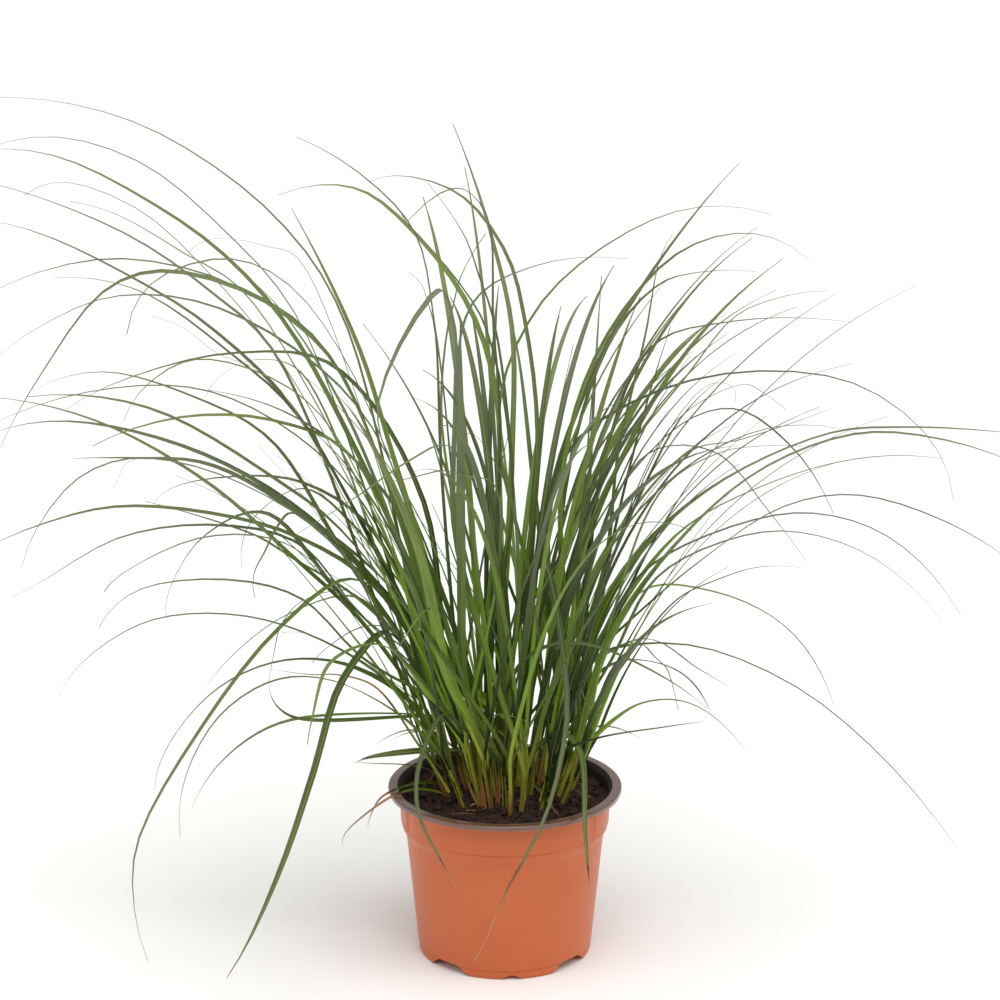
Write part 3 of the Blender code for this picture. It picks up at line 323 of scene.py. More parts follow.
# Blades that stand out, by their row among the leaves seen: the share of the width that they show,
# the curve of their taper, their tint from fresh to deep, their bloom of wax, and the share of the
# length where the dry tip starts
BLADE_LOOKS = {
    0: (0.80, 2.6, 0.60, 0.7, 0.94),
    1: (0.62, 2.6, 0.50, 0.3, 0.97),
    3: (0.55, 2.4, 0.60, 0.7, 0.99),
    6: (0.80, 3.2, 0.85, 0.0, 0.98),
    9: (1.00, 3.2, 0.75, 0.0, 0.93),
    10: (0.68, 2.2, 0.92, 0.3, 0.90),
    11: (0.66, 1.7, 0.95, 0.35, 0.86),
    12: (0.85, 2.6, 0.75, 0.0, 0.90),
    13: (0.64, 3.0, 0.75, 0.2, 0.98),
    15: (0.64, 3.2, 0.85, 0.3, 0.96),
    20: (0.62, 2.4, 0.60, 0.9, 0.99),
    22: (1.00, 2.6, 0.45, 0.4, 0.99),
    23: (0.52, 2.4, 0.70, 0.8, 0.99),
    24: (1.45, 3.2, 0.75, 0.5, 0.99),
    26: (1.00, 2.6, 0.60, 0.3, 0.86),
    27: (0.85, 3.2, 0.50, 0.4, 0.98),
    28: (0.80, 2.6, 0.70, 0.9, 0.86),
    29: (0.90, 3.2, 0.70, 0.9, 0.99),
    35: (0.60, 3.0, 0.65, 0.7, 0.98),
    36: (0.50, 2.6, 0.50, 0.3, 0.98),
    40: (1.00, 3.2, 0.80, 0.4, 0.98),
    43: (0.58, 3.0, 0.65, 0.4, 0.98),
    44: (0.80, 2.4, 0.70, 0.7, 0.88),
    45: (0.55, 2.4, 0.70, 0.8, 0.99),
    47: (0.60, 2.4, 0.60, 0.7, 0.99),
    49: (1.00, 2.8, 0.20, 0.6, 0.95),
    50: (1.00, 3.2, 0.90, 0.3, 0.98),
    51: (1.00, 3.2, 0.65, 0.4, 0.98),
    52: (1.00, 3.2, 0.80, 0.1, 0.98),
    54: (0.72, 2.0, 0.50, 0.8, 0.98),
    55: (1.45, 3.2, 0.30, 0.1, 0.98),
    57: (1.00, 3.2, 0.30, 0.0, 0.98),
    58: (1.00, 3.2, 0.60, 0.4, 0.98),
    59: (0.80, 2.8, 0.75, 0.3, 0.99),
    61: (1.00, 3.2, 0.65, 0.2, 0.99),
    68: (0.80, 2.4, 0.70, 0.9, 0.99),
    71: (0.80, 2.4, 0.75, 0.8, 0.99),
    72: (1.40, 3.2, 0.55, 0.4, 0.99),
    73: (1.60, 3.2, 0.45, 0.4, 0.99),
    75: (1.00, 2.4, 0.80, 0.9, 0.99),
    76: (0.72, 2.6, 0.70, 0.9, 0.99),
    77: (0.72, 2.6, 0.70, 0.9, 0.99),
    78: (0.85, 2.4, 0.60, 0.7, 0.99),
}

# Old leaves and sheaths low in the clump and three green side leaves, read from the front: the
# width in mm, the depths of the foot and of the tip in cm, how brown they are (or, where they are
# still green below, their tint), the share of the length that is still green, and points from the
# foot to the tip as x and z in cm
OLD_LEAVES = (
    (1.5, 4.9, 0.5, 0.1, 0.0, (
        (-5.2, 14.6), (-6.5, 15.5), (-8.3, 15.8), (-10.8, 15.9), (-12.5, 16),
    )),
    (3.0, 1.1, -5.2, 0.6, 0.55, (
        (-4.6, 13.8), (-6.4, 14.3), (-8.3, 13.9), (-10.1, 12.9), (-10.9, 11.5), (-11.2, 10.2),
    )),
    (3.0, -0.4, -6.0, 0.4, 0.38, (
        (-4.7, 13.2), (-6.9, 13.7), (-8.7, 13.3), (-11.1, 11.7), (-13.1, 9.7), (-13.2, 8.6),
    )),
    (2.2, 0.6, -2.0, 0.7, 0.85, (
        (-4.6, 13.6), (-5.9, 17.7), (-6.7, 18.6), (-8.2, 18.7), (-10.6, 17.4),
    )),
    (1.5, 2.7, 2.7, 0.9, 0.0, ((-6.2, 14.4), (-5.8, 15), (-5.9, 15.3))),
    (1.5, 1.7, 1.7, 0.9, 0.0, ((-4.7, 14), (-5.1, 14.7), (-5.8, 15))),
    (1.8, 5.2, 5.2, 0.7, 0.0, ((-5, 15.3), (-5.6, 15.9), (-6.3, 16.5))),
    (3.2, -2.9, -3.2, 0.3, 0.0, ((-2.1, 12.2), (-2.5, 13), (-2.8, 13.7), (-3, 14.5))),
    (2.2, -2.8, -3.0, 0.2, 0.0, ((-2.1, 12.3), (-2.5, 12.4), (-2.9, 12.1))),
    (1.8, 2.3, 1.0, 0.3, 0.0, (
        (-0.2, 14.2), (0.1, 14.9), (0.6, 15.5), (1.7, 15.9), (3.2, 16.4), (3.6, 16.9),
    )),
    (2.5, -1.2, -1.0, 0.5, 0.0, ((-1.1, 12.9), (-1.2, 16.1), (-1.5, 18.6), (-1.6, 20))),
    (5.0, -3.2, -3.0, 0.8, 0.0, ((-1.7, 12.1), (-1.8, 13.3), (-1.9, 14.6))),
    (4.5, -2.7, -2.5, 1.0, 0.0, ((-0.6, 12.3), (-0.5, 13.6), (-0.4, 14.8))),
    (4.0, -0.5, -0.4, 0.6, 0.0, ((1.3, 13.1), (1.4, 13.8), (1.5, 14.5))),
    (5.0, 1.6, -5.4, 0.6, 0.82, ((1.6, 14.9), (2.5, 14), (3.2, 13.2), (3.8, 12.2), (4.4, 11.4))),
    (4.0, 0.2, -1.0, 0.5, 0.75, ((4.2, 13.4), (5, 15.1), (6.1, 16.8), (7.3, 18), (7.6, 19))),
    (2.5, -3.5, -8, 0.5, 0.45, (
        (-4.5, 13.4), (-7, 17.5), (-10.5, 22.5), (-13.5, 23.5), (-15.5, 23.5), (-19, 24),
    )),
    (3.0, 4.5, 9, 0.4, 0.0, ((-2, 13.2), (-3, 16), (-6, 18.5), (-9, 18))),
    (3.0, 4.8, 11, 0.2, 0.3, ((3, 13.2), (4, 16.5), (7, 19), (11, 18))),
    (3.7, -0.8, -15, 0.2, 1.0, (
        (-1.9, 12.7), (-2.2, 17.8), (-2.7, 21.5), (-3.5, 24.5), (-4.5, 27.4), (-5.7, 29.1),
        (-6.9, 28.4), (-8.6, 25.7), (-9.7, 24.3),
    )),
    (4.5, 0.3, -17, 0.8, 1.0, (
        (-1.3, 13.1), (-1, 17), (-0.4, 20.5), (1.3, 24.5), (3.9, 26.1), (6.6, 26.1), (9.4, 25.1),
        (13.7, 22.7), (16.3, 20.6),
    )),
    (2.0, 0.8, -9, 0.2, 1.0, (
        (-2.8, 13.3), (-2.8, 16.2), (-2, 19), (-0.6, 20.1), (1, 19.8), (3, 18.8),
    )),
)
OLD_STEPS = 24
OLD_FOLD = 0.7
OLD_THICKNESS = 0.4 * MM
OLD_TIP_WIDTH = 0.3 * MM
OLD_TAPER_CURVE = 3
OLD_FACING = (0.0, -1.0, 0.3)
OLD_BLOOM = 0.3
OLD_SMOOTH_ANGLE = math.radians(40.0)

# Blades, as they look: thin, folded along the midrib, and clasping their shoot at the foot
BLADE_STEPS = 30
BLADE_FOOT_WIDTH = 2.6 * MM
BLADE_FOOT_EXTRA = 0.38
BLADE_OPENS_BY = 0.50
BLADE_TIP_WIDTH = 0.75 * MM
BLADE_TAPER_CURVE = 3.2
BLADE_THINS_BY = 0.5
BLADE_WIDENING = 1.10
BLADE_FOOT_DEPTH = 9.0 * MM
BLADE_CLASP = 1.35
BLADE_SMOOTH_ANGLE = math.radians(32.0)

# What a blade that doesn't stand out shows: the share of its width, its tint near the fresh or the
# deep green, its bloom, and where its dry tip starts, as (share of the blades up to here, from,
# to).
# Shoots nearer the middle of the crown get more deep-green blades as painted shade, mixed with
# chance.
GROWN_SHOWN = (0.58, 0.84)
PAINTED_SHADE_BY_CHANCE = 0.5
FRESH_TINT = 0.15
DEEP_TINT = 0.85
TINT_SPREAD = 0.13
FRESH_SHARE = 0.6
FRESH_LOST_IN_PAINTED_SHADE = 0.45
BLOOM_CURVE = 1.5
BLOOM_UPRIGHT = 0.11
DRY_TIPS = ((0.9, 0.97, 0.995), (0.98, 0.93, 0.97), (1.0, 0.88, 0.93))

# The rolled young leaf in the middle of a shoot, and the part of a leaf's colours that it shows
SHEATH_LOOK_SIDES = 8
SHEATH_LOOK_STEPS = 4
SHEATH_LOOK_RADIUS = (2.0 * MM, 1.2 * MM)
SHEATH_LOOK_ACROSS = 0.3
SHEATH_LOOK_ALONG = 0.16

# Thin and young leaves
THIN_SEED = 900
THIN_SHOOTS_TRIED = 4
THIN_PATH_CHECKS = 4
YOUNG_SEED = 40000
YOUNG_LENGTH = (170.0 * MM, 400.0 * MM)
YOUNG_WIDTH = (2.4 * MM, 4.2 * MM)
YOUNG_LEAN = (0.0, 0.16)
YOUNG_LEAN_AT_EDGE = 0.30
YOUNG_DROOP = (0.15, 0.9)
YOUNG_TURN = 1.3

# The square rod that blades are shaped from has its corners in this order round its axis
LEFT, GROOVE, RIGHT, KEEL = range(4)

# Pot, as it looks: the creases of the drawn sheet, the flutes over the foot's notches, and the
# dents in the collar that keep stacked pots apart. The foot's openings flare out at the floor and
# are rounded at the roof: each pair is a share of the height and the share of the width open there
CREASE = 0.9 * MM
CORNER_STEPS = 5
CORNER_REACH = 0.45
FLUTE_STEPS = 32
FLUTE_RADIUS = 5.0 * MM
FLUTE_DEPTH = 0.8 * MM
DENT_COUNT = 3
DENT_STEPS = 48
DENT_TURN = math.radians(55.0)
DENT_RADIUS = 14.0 * MM
DENT_DEPTH = 0.95 * MM
DENT_RUN_OUT = 5.5 * MM
DRAIN_HOLE_STEPS = 28
DRAIN_HOLE_MOUTH = 1.15
OPENING_LIFT = 1.0 * MM
OPENING_PROFILE = ((0.0, 1.16), (0.10, 1.02), (0.35, 0.84), (0.65, 0.66), (0.88, 0.54), (1.0, 0.42))
POT_SMOOTH_ANGLE = math.radians(38.0)

# Peat: its top is the soil's with clods and grains on it, each read from its own patch of noise
PEAT_RING_GAP = 1.7 * MM
PEAT_STEPS = 240
PEAT_CLOD = 1.8 * MM
PEAT_CLOD_SIZE = 8.0 * MM
PEAT_CLOD_PATCH = Vector((3.0, 7.0, 1.0))
PEAT_GRAIN = 0.9 * MM
PEAT_GRAIN_SIZE = 3.2 * MM
PEAT_GRAIN_PATCH = Vector((11.0, 2.0, 5.0))
PEAT_SMOOTH_ANGLE = math.radians(60.0)

# Crumbs of peat: rounded cubes with lumps, wider than high and sunk in a little
CRUMB_MARGIN = 6 * WALL
CRUMB_ROUNDING = 0.8
CRUMB_LUMP = 0.35
CRUMB_SIZE_CURVE = 3
CRUMB_WIDTH = (0.7, 1.3)
CRUMB_HEIGHT = (0.5, 0.9)
CRUMB_RISE = 0.15

# Fibres on the peat: bent to one side, waved up and down, and kept off the pot's wall
FIBRE_SEED = SEED + 1
FIBRE_STEPS = 5
FIBRE_MARGIN = 8 * WALL
FIBRE_WALL_GAP = 4 * WALL
FIBRE_TURN_BACK = 0.985
FIBRE_LENGTH = (6.0 * MM, 24.0 * MM)
FIBRE_BEND = (-1.2, 1.2)
FIBRE_HALF_WIDTH = (0.15 * MM, 0.55 * MM)
FIBRE_FLATNESS = 0.6
FIBRE_LIFT = 0.6 * MM
FIBRE_WAVE = 1.5 * MM
FIBRE_WAVE_SIZE = 1 / 300
FIBRE_TINT = (0.0, 0.7)
FIBRE_SMOOTH_ANGLE = math.radians(50.0)

# Patterns of the materials, at the size that they are drawn
DRAW_MARK = 2.0 * MM
DRAW_MARK_STRETCH = 0.04
SHEET_CLOUD = 45.0 * MM
DUST_SPECK = 1.5 * MM
CLOD_TONE = 6.0 * MM
GRAIN_TONE = 1.2 * MM
PAPER_TOOTH = 1.0 * MM
RIBS_ACROSS = 12
LIVING_STREAKS = (5.0, 9.0, 40.0)
DEAD_STREAKS = (6.0, 5.0, 1.0)
POLYPROPYLENE_IOR = 1.49

# A leaf's browned foot, midrib, bloom and dry tip, as shares across and along the leaf
FOOT_LOTS = 57.0
FOOT_LOT_BROWNED = (0.5, 0.8)
FOOT_BROWN_UP_TO = (0.03, 0.09)
FOOT_BROWNED = 0.9
MIDRIB_EDGE = (0.03, 0.09)
MIDRIB_STRENGTH = 0.35
BLOOM_ALONG = (0.3, 0.75)
BLOOM_ABOVE = 0.6
BLOOM_BELOW = 0.85
TIP_RAGGED = 0.03
TIP_EDGE = 0.02
TIP_BROWNS = ("#452D20", "#6E482B", "#AE8154")
TIP_GREY = "#8F8474"
DEAD_BROWNS = ("#6E4A2C", "#A9814C")
DEAD_BLEACHED = "#CDBB90"
DEAD_BROWNED = 0.85

# What counts as facing up or down, and as one vertex
FACES_UP = 0.5
LIP_FACES_DOWN = 0.3
ONE_VERTEX = 0.01 * MM

# Stage: what the camera looks at from the eye's place, the floor and the lights
CAMERA_TARGET = Vector((-4.0 * MM, 0.0, 0.381))
FLOOR_SIZE = 900.0
OVERHEAD_SPREAD = math.radians(60.0)
OVERHEAD_TURN = (math.radians(20.0), math.radians(7.0), 0.0)
SOFTBOX_SIZE = 1.2
SOFTBOXES = {"left_softbox": (-2.2, -0.9, 0.9), "right_softbox": (2.2, -0.7, 0.9)}


def linear(hex_colour):
    """The sRGB colour #RRGGBB as linear red, green and blue."""
    channels = [int(hex_colour[i : i + 2], 16) / 255 for i in (1, 3, 5)]
    return [c / 12.92 if c <= 0.04045 else ((c + 0.055) / 1.055) ** 2.4 for c in channels]


# ----------------------------------------------------------------------------------- settings


def colour_setting(name, description, hex_colour):
    return FloatVectorProperty(
        name=name,
        description=description,
        default=linear(hex_colour),
        min=0.0,
        max=1.0,
        subtype="COLOR",
    )


def length_setting(name, description, default):
    return FloatProperty(
        name=name, description=description, default=default, min=0.0, unit="LENGTH"
    )


def count_setting(name, description, default, most, least=0):
    return IntProperty(
        name=name, description=description, default=default, min=least, max=most
    )


def strength_setting(name, description, default):
    return FloatProperty(name=name, description=description, default=default, min=0.0)


class PotSettings(bpy.types.PropertyGroup):
    """The nursery pot's finish."""

    steps: count_setting("Steps", "Faces round the pot", 144, 360, 24)
    lip_rounding: length_setting("Lip rounding", "Rounding of the lip's outer edge", 1.7 * MM)
    collar_rounding: length_setting("Collar rounding", "Rounding round the collar", 2.0 * MM)
    foot_rounding: length_setting("Foot rounding", "Rounding of the foot's edge", 2.6 * MM)
    shell: colour_setting("Shell", "The outside of the wall", "#BC5A29")
    shell_worn: colour_setting("Shell, drawn", "Where the sheet was drawn thinner", "#C66531")
    lip: colour_setting("Lip", "The top and edge of the lip", "#684536")
    # Much darker than the lip, which is the same brown sheet: painted shade inside the pot
    inside: colour_setting("Inside", "The inner side of the wall", "#2C1C18")


class SoilSettings(bpy.types.PropertyGroup):
    """The peat and what lies on it."""

    crumbs: count_setting("Crumbs", "Loose crumbs on the peat", 760, 2000)
    smallest: length_setting("Smallest crumb", "Size of the smallest crumb", 1.4 * MM)
    largest: length_setting("Largest crumb", "Size of the largest crumb", 6.5 * MM)
    fibres: count_setting("Fibres", "Fibres on the peat", 36, 400)
    dark: colour_setting("Dark", "The dampest peat", "#1C100C")
    light: colour_setting("Light", "The driest peat", "#52372C")


class GrassSettings(bpy.types.PropertyGroup):
    """The blades of grass."""

    thickness: length_setting("Thickness", "A blade's thickness along its midrib", 0.5 * MM)
    foot_fold: FloatProperty(
        name="Fold at the foot",
        description="How far each half of a blade is folded up where it clasps the shoot",
        default=math.radians(52.0),
        subtype="ANGLE",
    )
    tip_fold: FloatProperty(
        name="Fold at the tip",
        description="How far each half of a blade is folded up near its tip",
        default=math.radians(16.0),
        subtype="ANGLE",
    )
    clasp: length_setting("Clasp", "How far up a blade clasps its shoot", 75.0 * MM)
    young: count_setting("Young leaves", "Thin young leaves a shoot", 1, 8)
    fresh: colour_setting("Fresh green", "The lightest blades", "#799C2A")
    # Partly the old blades' own dark green, and darkened further as painted shade inside the crown
    deep: colour_setting("Deep green", "The darkest blades", "#11220A")
    aged: colour_setting("Aged green", "The outer half of a blade", "#747E48")
    foot: colour_setting("Foot", "A blade's pale foot", "#C8BF4A")
    sheath: colour_setting("Old sheath", "The dead sheath at some blades' feet", "#9A5C36")
    midrib: colour_setting("Midrib", "The pale line along a blade", "#9DB45A")
    wax: colour_setting("Bloom", "The waxy bloom of a blade", "#777E70")
    straw: colour_setting("Straw", "Dry leaves and tips", "#B79A62")


class StageSettings(bpy.types.PropertyGroup):
    """The floor, the lights and the camera."""

    lens: FloatProperty(
        name="Lens", description="Focal length", default=110.6, min=10.0, unit="CAMERA"
    )
    overhead: strength_setting("Overhead light", "Wide soft light from above", 2.25)
    sides: FloatProperty(
        name="Side lights", description="Softboxes at both sides", default=9.0, unit="POWER"
    )
    sky: strength_setting("Surroundings", "Strength of the white room", 0.47)
    floor: colour_setting("Floor", "The pale floor", "#F6F6F4")


class PottedGrassSettings(bpy.types.PropertyGroup):
    """Everything that can be changed on the potted grass."""

    pot: PointerProperty(type=PotSettings)
    soil: PointerProperty(type=SoilSettings)
    grass: PointerProperty(type=GrassSettings)
    stage: PointerProperty(type=StageSettings)


# ------------------------------------------------------------------------------------- growth


def soil_height(x, y):
    """The height of the soil's top: a low mound round the crown, with lumps."""
    from_crown = math.hypot(x - CROWN_CENTRE.x, y - CROWN_CENTRE.y)
    share = min(1.0, from_crown / SOIL_MOUND_RADIUS)
    mound = SOIL_MOUND * math.cos(share * math.pi / 2)
    lump = SOIL_LUMP * noise.noise(Vector((x, y, 0.0)) / SOIL_LUMP_SIZE)
    return SOIL_Z + mound + lump


def crown_place(index):
    """Where a shoot comes out of the soil, as x and y: the next place on an even spiral."""
    radius = CROWN_RADIUS * math.sqrt((index + 0.5) / SHOOT_COUNT)
    angle = index * math.pi * (3 - math.sqrt(5))
    return CROWN_CENTRE + Vector((radius * math.cos(angle), radius * math.sin(angle), 0.0))


class Shoot:
    """One shoot: its foot, the axis and top of its sheath, and its leaves."""

    def __init__(self, index):
        rng = random.Random(SHOOT_SEEDS + index)
        self.name = f"shoot_{index + 1:02d}"
        self.foot = crown_place(index)
        self.outward = (self.foot - CROWN_CENTRE) / CROWN_RADIUS
        self.foot.z = soil_height(self.foot.x, self.foot.y) - SOCKET_DEPTH
        self.axis = (Vector((0, 0, 1)) + self.outward * SHEATH_LEAN).normalized()
        self.top = self.foot + self.axis * (SOCKET_DEPTH + rng.uniform(*SHEATH_HEIGHT))
        self.leaves = []
        self.sectors = [index + k * math.tau / LEAVES_PER_SHOOT for k in range(LEAVES_PER_SHOOT)]
        self.tree = search_tree([self.rings()])

    def rings(self, extra=0.0):
        """Two rings of points round the sheath, at its foot and its top."""
        axis = np.array(self.axis)
        aside = unit(np.cross(axis, [0.0, 1.0, 0.0]))
        across = np.cross(axis, aside)
        angles = [k * math.tau / SHEATH_SIDES for k in range(SHEATH_SIDES)]
        spokes = [aside * math.cos(angle) + across * math.sin(angle) for angle in angles]
        foot = [np.array(self.foot) + spoke * (SHEATH_FOOT_RADIUS + extra) for spoke in spokes]
        top = [np.array(self.top) + spoke * (SHEATH_TOP_RADIUS + extra) for spoke in spokes]
        return [foot, top]

    def leaf_start(self, heading):
        """Two points low on a leaf with this heading: inside the sheath and just past it."""
        sector = max(self.sectors, key=lambda angle: math.cos(angle - heading), default=heading)
        side = level(sector) * LEAF_OFFSET
        inside = self.top - self.axis * LEAF_SOCKET + side
        return [inside, inside + self.axis * 2 * LEAF_SOCKET + side]

    def add(self, leaf, heading):
        self.sectors.remove(max(self.sectors, key=lambda angle: math.cos(angle - heading)))
        self.leaves.append(leaf)
        self.tree = search_tree([self.rings()] + [each.stations() for each in self.leaves])


class Leaf:
    """One leaf: the smooth curve along its middle, its width, and how it faces.

    seen tells whether it is read from the front, and look is its row if it is one that stands out.
    """

    seen = False
    look = None

    def __init__(self, points, width, face, roll):
        self.points = points
        self.curve = smooth_curve(points)
        pieces = np.diff(self.curve, axis=0)
        runs = np.linalg.norm(pieces, axis=1)
        bends = np.linalg.norm(np.diff(pieces / runs[:, None], axis=0), axis=1)
        self.reach = np.cumsum([0.0, *runs])
        self.effort = self.reach + LEAF_BEND_STEP * np.cumsum([0.0, *bends, 0.0])
        self.width = width
        self.face = face
        self.roll = roll

    def across(self):
        """Level directions across the leaf: as it settles above, and as it faces at its foot."""
        heading = unit((self.curve[-1] - self.curve[0]) * (1, 1, 0))
        spread = np.array([heading[1], -heading[0], 0.0])
        facing = np.array([math.cos(self.face), math.sin(self.face), 0.0])
        return spread, facing if facing @ spread >= 0 else -facing

    def line(self, steps):
        """Points along the leaf, closer together where it bends, and their shares of its length."""
        wanted = np.linspace(0.0, self.effort[-1], steps + 1)
        places = [np.interp(wanted, self.effort, self.curve[:, k]) for k in range(3)]
        shares = np.interp(wanted, self.effort, self.reach) / self.reach[-1]
        return np.stack(places, axis=1), shares

    def stations(self, extra=0.0):
        """(left edge, right edge, keel) at each step from the foot to the tip."""
        wanted = round(self.effort[-1] / LEAF_STEP)
        steps = min(max(wanted, LEAF_FEWEST_STEPS), LEAF_MOST_STEPS)
        line, shares = self.line(steps)
        spread, facing = self.across()
        found = []
        for place, share, along in zip(line, shares, directions(line)):
            settled = eased(share / LEAF_SETTLES_BY)
            across = facing * (1 - settled) + spread * settled
            across = unit(across - along * (across @ along))
            over = np.cross(across, along)
            turn = self.roll * settled
            side = across * math.cos(turn) + over * math.sin(turn)
            under = across * math.sin(turn) - over * math.cos(turn)
            half = leaf_width(share, self.width) / 2 + extra
            keel = LEAF_KEEL + (LEAF_TIP_KEEL - LEAF_KEEL) * share + extra
            found.append((place - side * half, place + side * half, place + under * keel))
        return found


def unit(vector):
    return vector / np.linalg.norm(vector)


def level(heading):
    """The level direction of a heading."""
    return Vector((math.cos(heading), math.sin(heading), 0.0))


def directions(line):
    """The direction of a line at each of its points."""
    last = len(line) - 1
    return [unit(line[min(i + 1, last)] - line[max(i - 1, 0)]) for i in range(last + 1)]


def eased(share):
    """0 to 1, with a soft start and end."""
    share = min(max(share, 0.0), 1.0)
    return share * share * (3 - 2 * share)


def clamped(value, limit):
    return min(max(value, -limit), limit)


def leaf_width(share, widest):
    """A leaf's width at a share of its length: narrow in the sheath, then a long taper."""
    opened = LEAF_FOOT_WIDTH + (widest - LEAF_FOOT_WIDTH) * min(1.0, share / LEAF_OPENS_BY)
    closing = max(0.0, share - LEAF_TAPERS_FROM) / (1 - LEAF_TAPERS_FROM)
    return opened * (1 - closing**LEAF_TAPER_CURVE)


def smooth_curve(points):
    """Many points along one smooth curve through the given ones."""
    given = np.array([tuple(p) for p in points])
    knots = np.cumsum([0.0, *np.linalg.norm(np.diff(given, axis=0), axis=1) ** 0.5])
    slopes = np.gradient(given, knots, axis=0, edge_order=2)
    fine = [given[0]]
    for i, span in enumerate(np.diff(knots)):
        for t in np.linspace(0.0, 1.0, CURVE_FINENESS + 1)[1:]:
            ends = given[i] + (given[i + 1] - given[i]) * (3 * t**2 - 2 * t**3)
            pull = slopes[i] * (t**3 - 2 * t**2 + t) + slopes[i + 1] * (t**3 - t**2)
            fine.append(ends + pull * span)
    return np.array(fine)


def search_tree(ringed):
    """A tree over the sides of leaves and sheaths, each given as its rings of points.

    Each four-sided piece of a side counts as folded along both of its diagonals.
    """
    points, faces = [], []
    for rings in ringed:
        base, sides = len(points), len(rings[0])
        points += [tuple(p) for ring in rings for p in ring]
        for i in range(len(rings) - 1):
            for j in range(sides):
                a = base + i * sides + j
                b = base + i * sides + (j + 1) % sides
                c, d = b + sides, a + sides
                faces += [(a, b, c), (a, c, d), (a, b, d), (b, c, d)]
    return BVHTree.FromPolygons(points, faces)


def fits(leaf, shoot, shoots):
    """Whether a leaf stays within the clump's reach and off the pot, the soil and other shoots."""
    stations = leaf.stations(LEAF_CLEARANCE)
    edges = np.array([p for station in stations for p in station])
    if edges[:, 2].min() < LOWEST_LEAF_Z:
        return False
    if abs(edges[:, 0]).max() > REACH_SIDEWAYS or abs(edges[:, 1]).max() > REACH_FORWARD:
        return False
    tree = search_tree([stations])
    if any(tree.overlap(search_tree([leaf.stations()])) for leaf in shoot.leaves):
        return False
    if any(other is not shoot and tree.overlap(other.tree) for other in shoots):
        return False
    middles = np.array([station[0] + station[1] for station in stations]) / 2
    return all(
        clears_pot(a + (b - a) * share)
        for a, b in zip(middles[1:], middles[2:])
        for share in np.linspace(0.0, 1.0, PATH_CHECKS)
    )


def clears_pot(point):
    """Whether a leaf may pass through this point: over the soil, over the rim or outside it."""
    x, y, z = point
    radius = math.hypot(x, y)
    if radius > RIM_RADIUS + POT_CLEARANCE or z > POT_HEIGHT + POT_CLEARANCE:
        return True
    over_soil = z > soil_height(x, y) + POT_CLEARANCE
    return over_soil and radius < COLLAR_RADIUS - POT_INSIDE_CLEARANCE


def behind(x, z, depth):
    """The point at this depth behind the pot's axis that is seen at x, z from the front."""
    seen = Vector((x, 0.0, z))
    return EYE + (seen - EYE) * ((depth - EYE.y) / -EYE.y)


def seen_leaf(shoot, width, seen, depth, heading, face, roll):
    """A leaf along the line read from the front, its tip at the given depth.

    The first points that lie lower than the top of the sheath are left to the sheath.
    """
    start = shoot.leaf_start(heading)
    lowest = start[1].z + SEEN_RISE
    while len(seen) > SEEN_FEWEST_POINTS and behind(*seen[0], start[1].y).z < lowest:
        seen = seen[1:]
    flat = np.array([(start[1].x, start[1].z), *seen])
    runs = np.cumsum(np.linalg.norm(np.diff(flat, axis=0), axis=1))
    depths = start[1].y + (depth - start[1].y) * (runs / runs[-1]) ** SEEN_DEPTH_CURVE
    points = start + [behind(x, z, float(y)) for (x, z), y in zip(seen, depths)]
    return Leaf(points, width, face, roll)


def place_seen_leaf(number, rng, shoots):
    """Puts a leaf read from the front on the nearest shoot where it fits."""
    width, depth, seen = SEEN_LEAVES[number]
    seen = [(x * CM, z * CM) for x, z in seen]
    aim = Vector((seen[-1][0], depth * CM, 0.0)) / SEEN_SPREAD
    aim = Vector((clamped(aim.x, SEEN_EDGE), clamped(aim.y, SEEN_EDGE), 0.0))
    free = [shoot for shoot in shoots if shoot.sectors]
    free.sort(key=lambda shoot: (shoot.outward - aim).length + SEEN_CROWDING * len(shoot.leaves))
    for shoot in free[:SEEN_SHOOTS_TRIED]:
        for attempt in range(SEEN_TRIES):
            tip_depth = depth * CM + attempt * CM * rng.uniform(-1.0, 1.0)
            tip = behind(*seen[-1], tip_depth)
            heading = math.atan2(tip.y - shoot.foot.y, tip.x - shoot.foot.x)
            face, roll = rng.uniform(-SEEN_FACE, SEEN_FACE), rng.uniform(*SEEN_ROLL)
            leaf = seen_leaf(shoot, width * MM, seen, tip_depth, heading, face, roll)
            if fits(leaf, shoot, shoots):
                leaf.seen = True
                leaf.look = BLADE_LOOKS.get(number)
                shoot.add(leaf, heading)
                return


def drooping_line(shoot, heading, length, lean, droop):
    """Points along a leaf that leaves its shoot at a lean and bends over as it goes."""
    points = shoot.leaf_start(heading)
    for i in range(GROWN_PARTS):
        angle = lean + droop * ((i + 0.5) / GROWN_PARTS) ** GROWN_DROOP_CURVE
        step = level(heading) * math.sin(angle) + Vector((0, 0, 1)) * math.cos(angle)
        points.append(points[-1] + step * length / GROWN_PARTS)
    return points


def grown_leaf(shoot, heading, rng):
    """A leaf by the clump's rule: it is longer and bends over more where it goes to the front."""
    forward = abs(level(heading).y)
    length = rng.uniform(*GROWN_LENGTH) + forward * GROWN_EXTRA_LENGTH
    lean = rng.uniform(*GROWN_LEAN) + GROWN_LEAN_AT_EDGE * shoot.outward.length
    droop = rng.uniform(*GROWN_DROOP) + forward * GROWN_EXTRA_DROOP
    points = drooping_line(shoot, heading, length, lean, droop)
    width = rng.uniform(*GROWN_WIDTH)
    face, roll = rng.uniform(-GROWN_FACE, GROWN_FACE), rng.uniform(-GROWN_ROLL, GROWN_ROLL)
    return Leaf(points, width, face, roll)


def place_grown_leaf(shoot, rng, shoots):
    outward = math.atan2(shoot.outward.y, shoot.outward.x)
    for _ in range(GROWN_TRIES):
        heading = outward + rng.uniform(-GROWN_TURN, GROWN_TURN)
        leaf = grown_leaf(shoot, heading, rng)
        if leaf.curve[:, 2].max() < GROWN_TOP and fits(leaf, shoot, shoots):
            shoot.add(leaf, heading)
            return


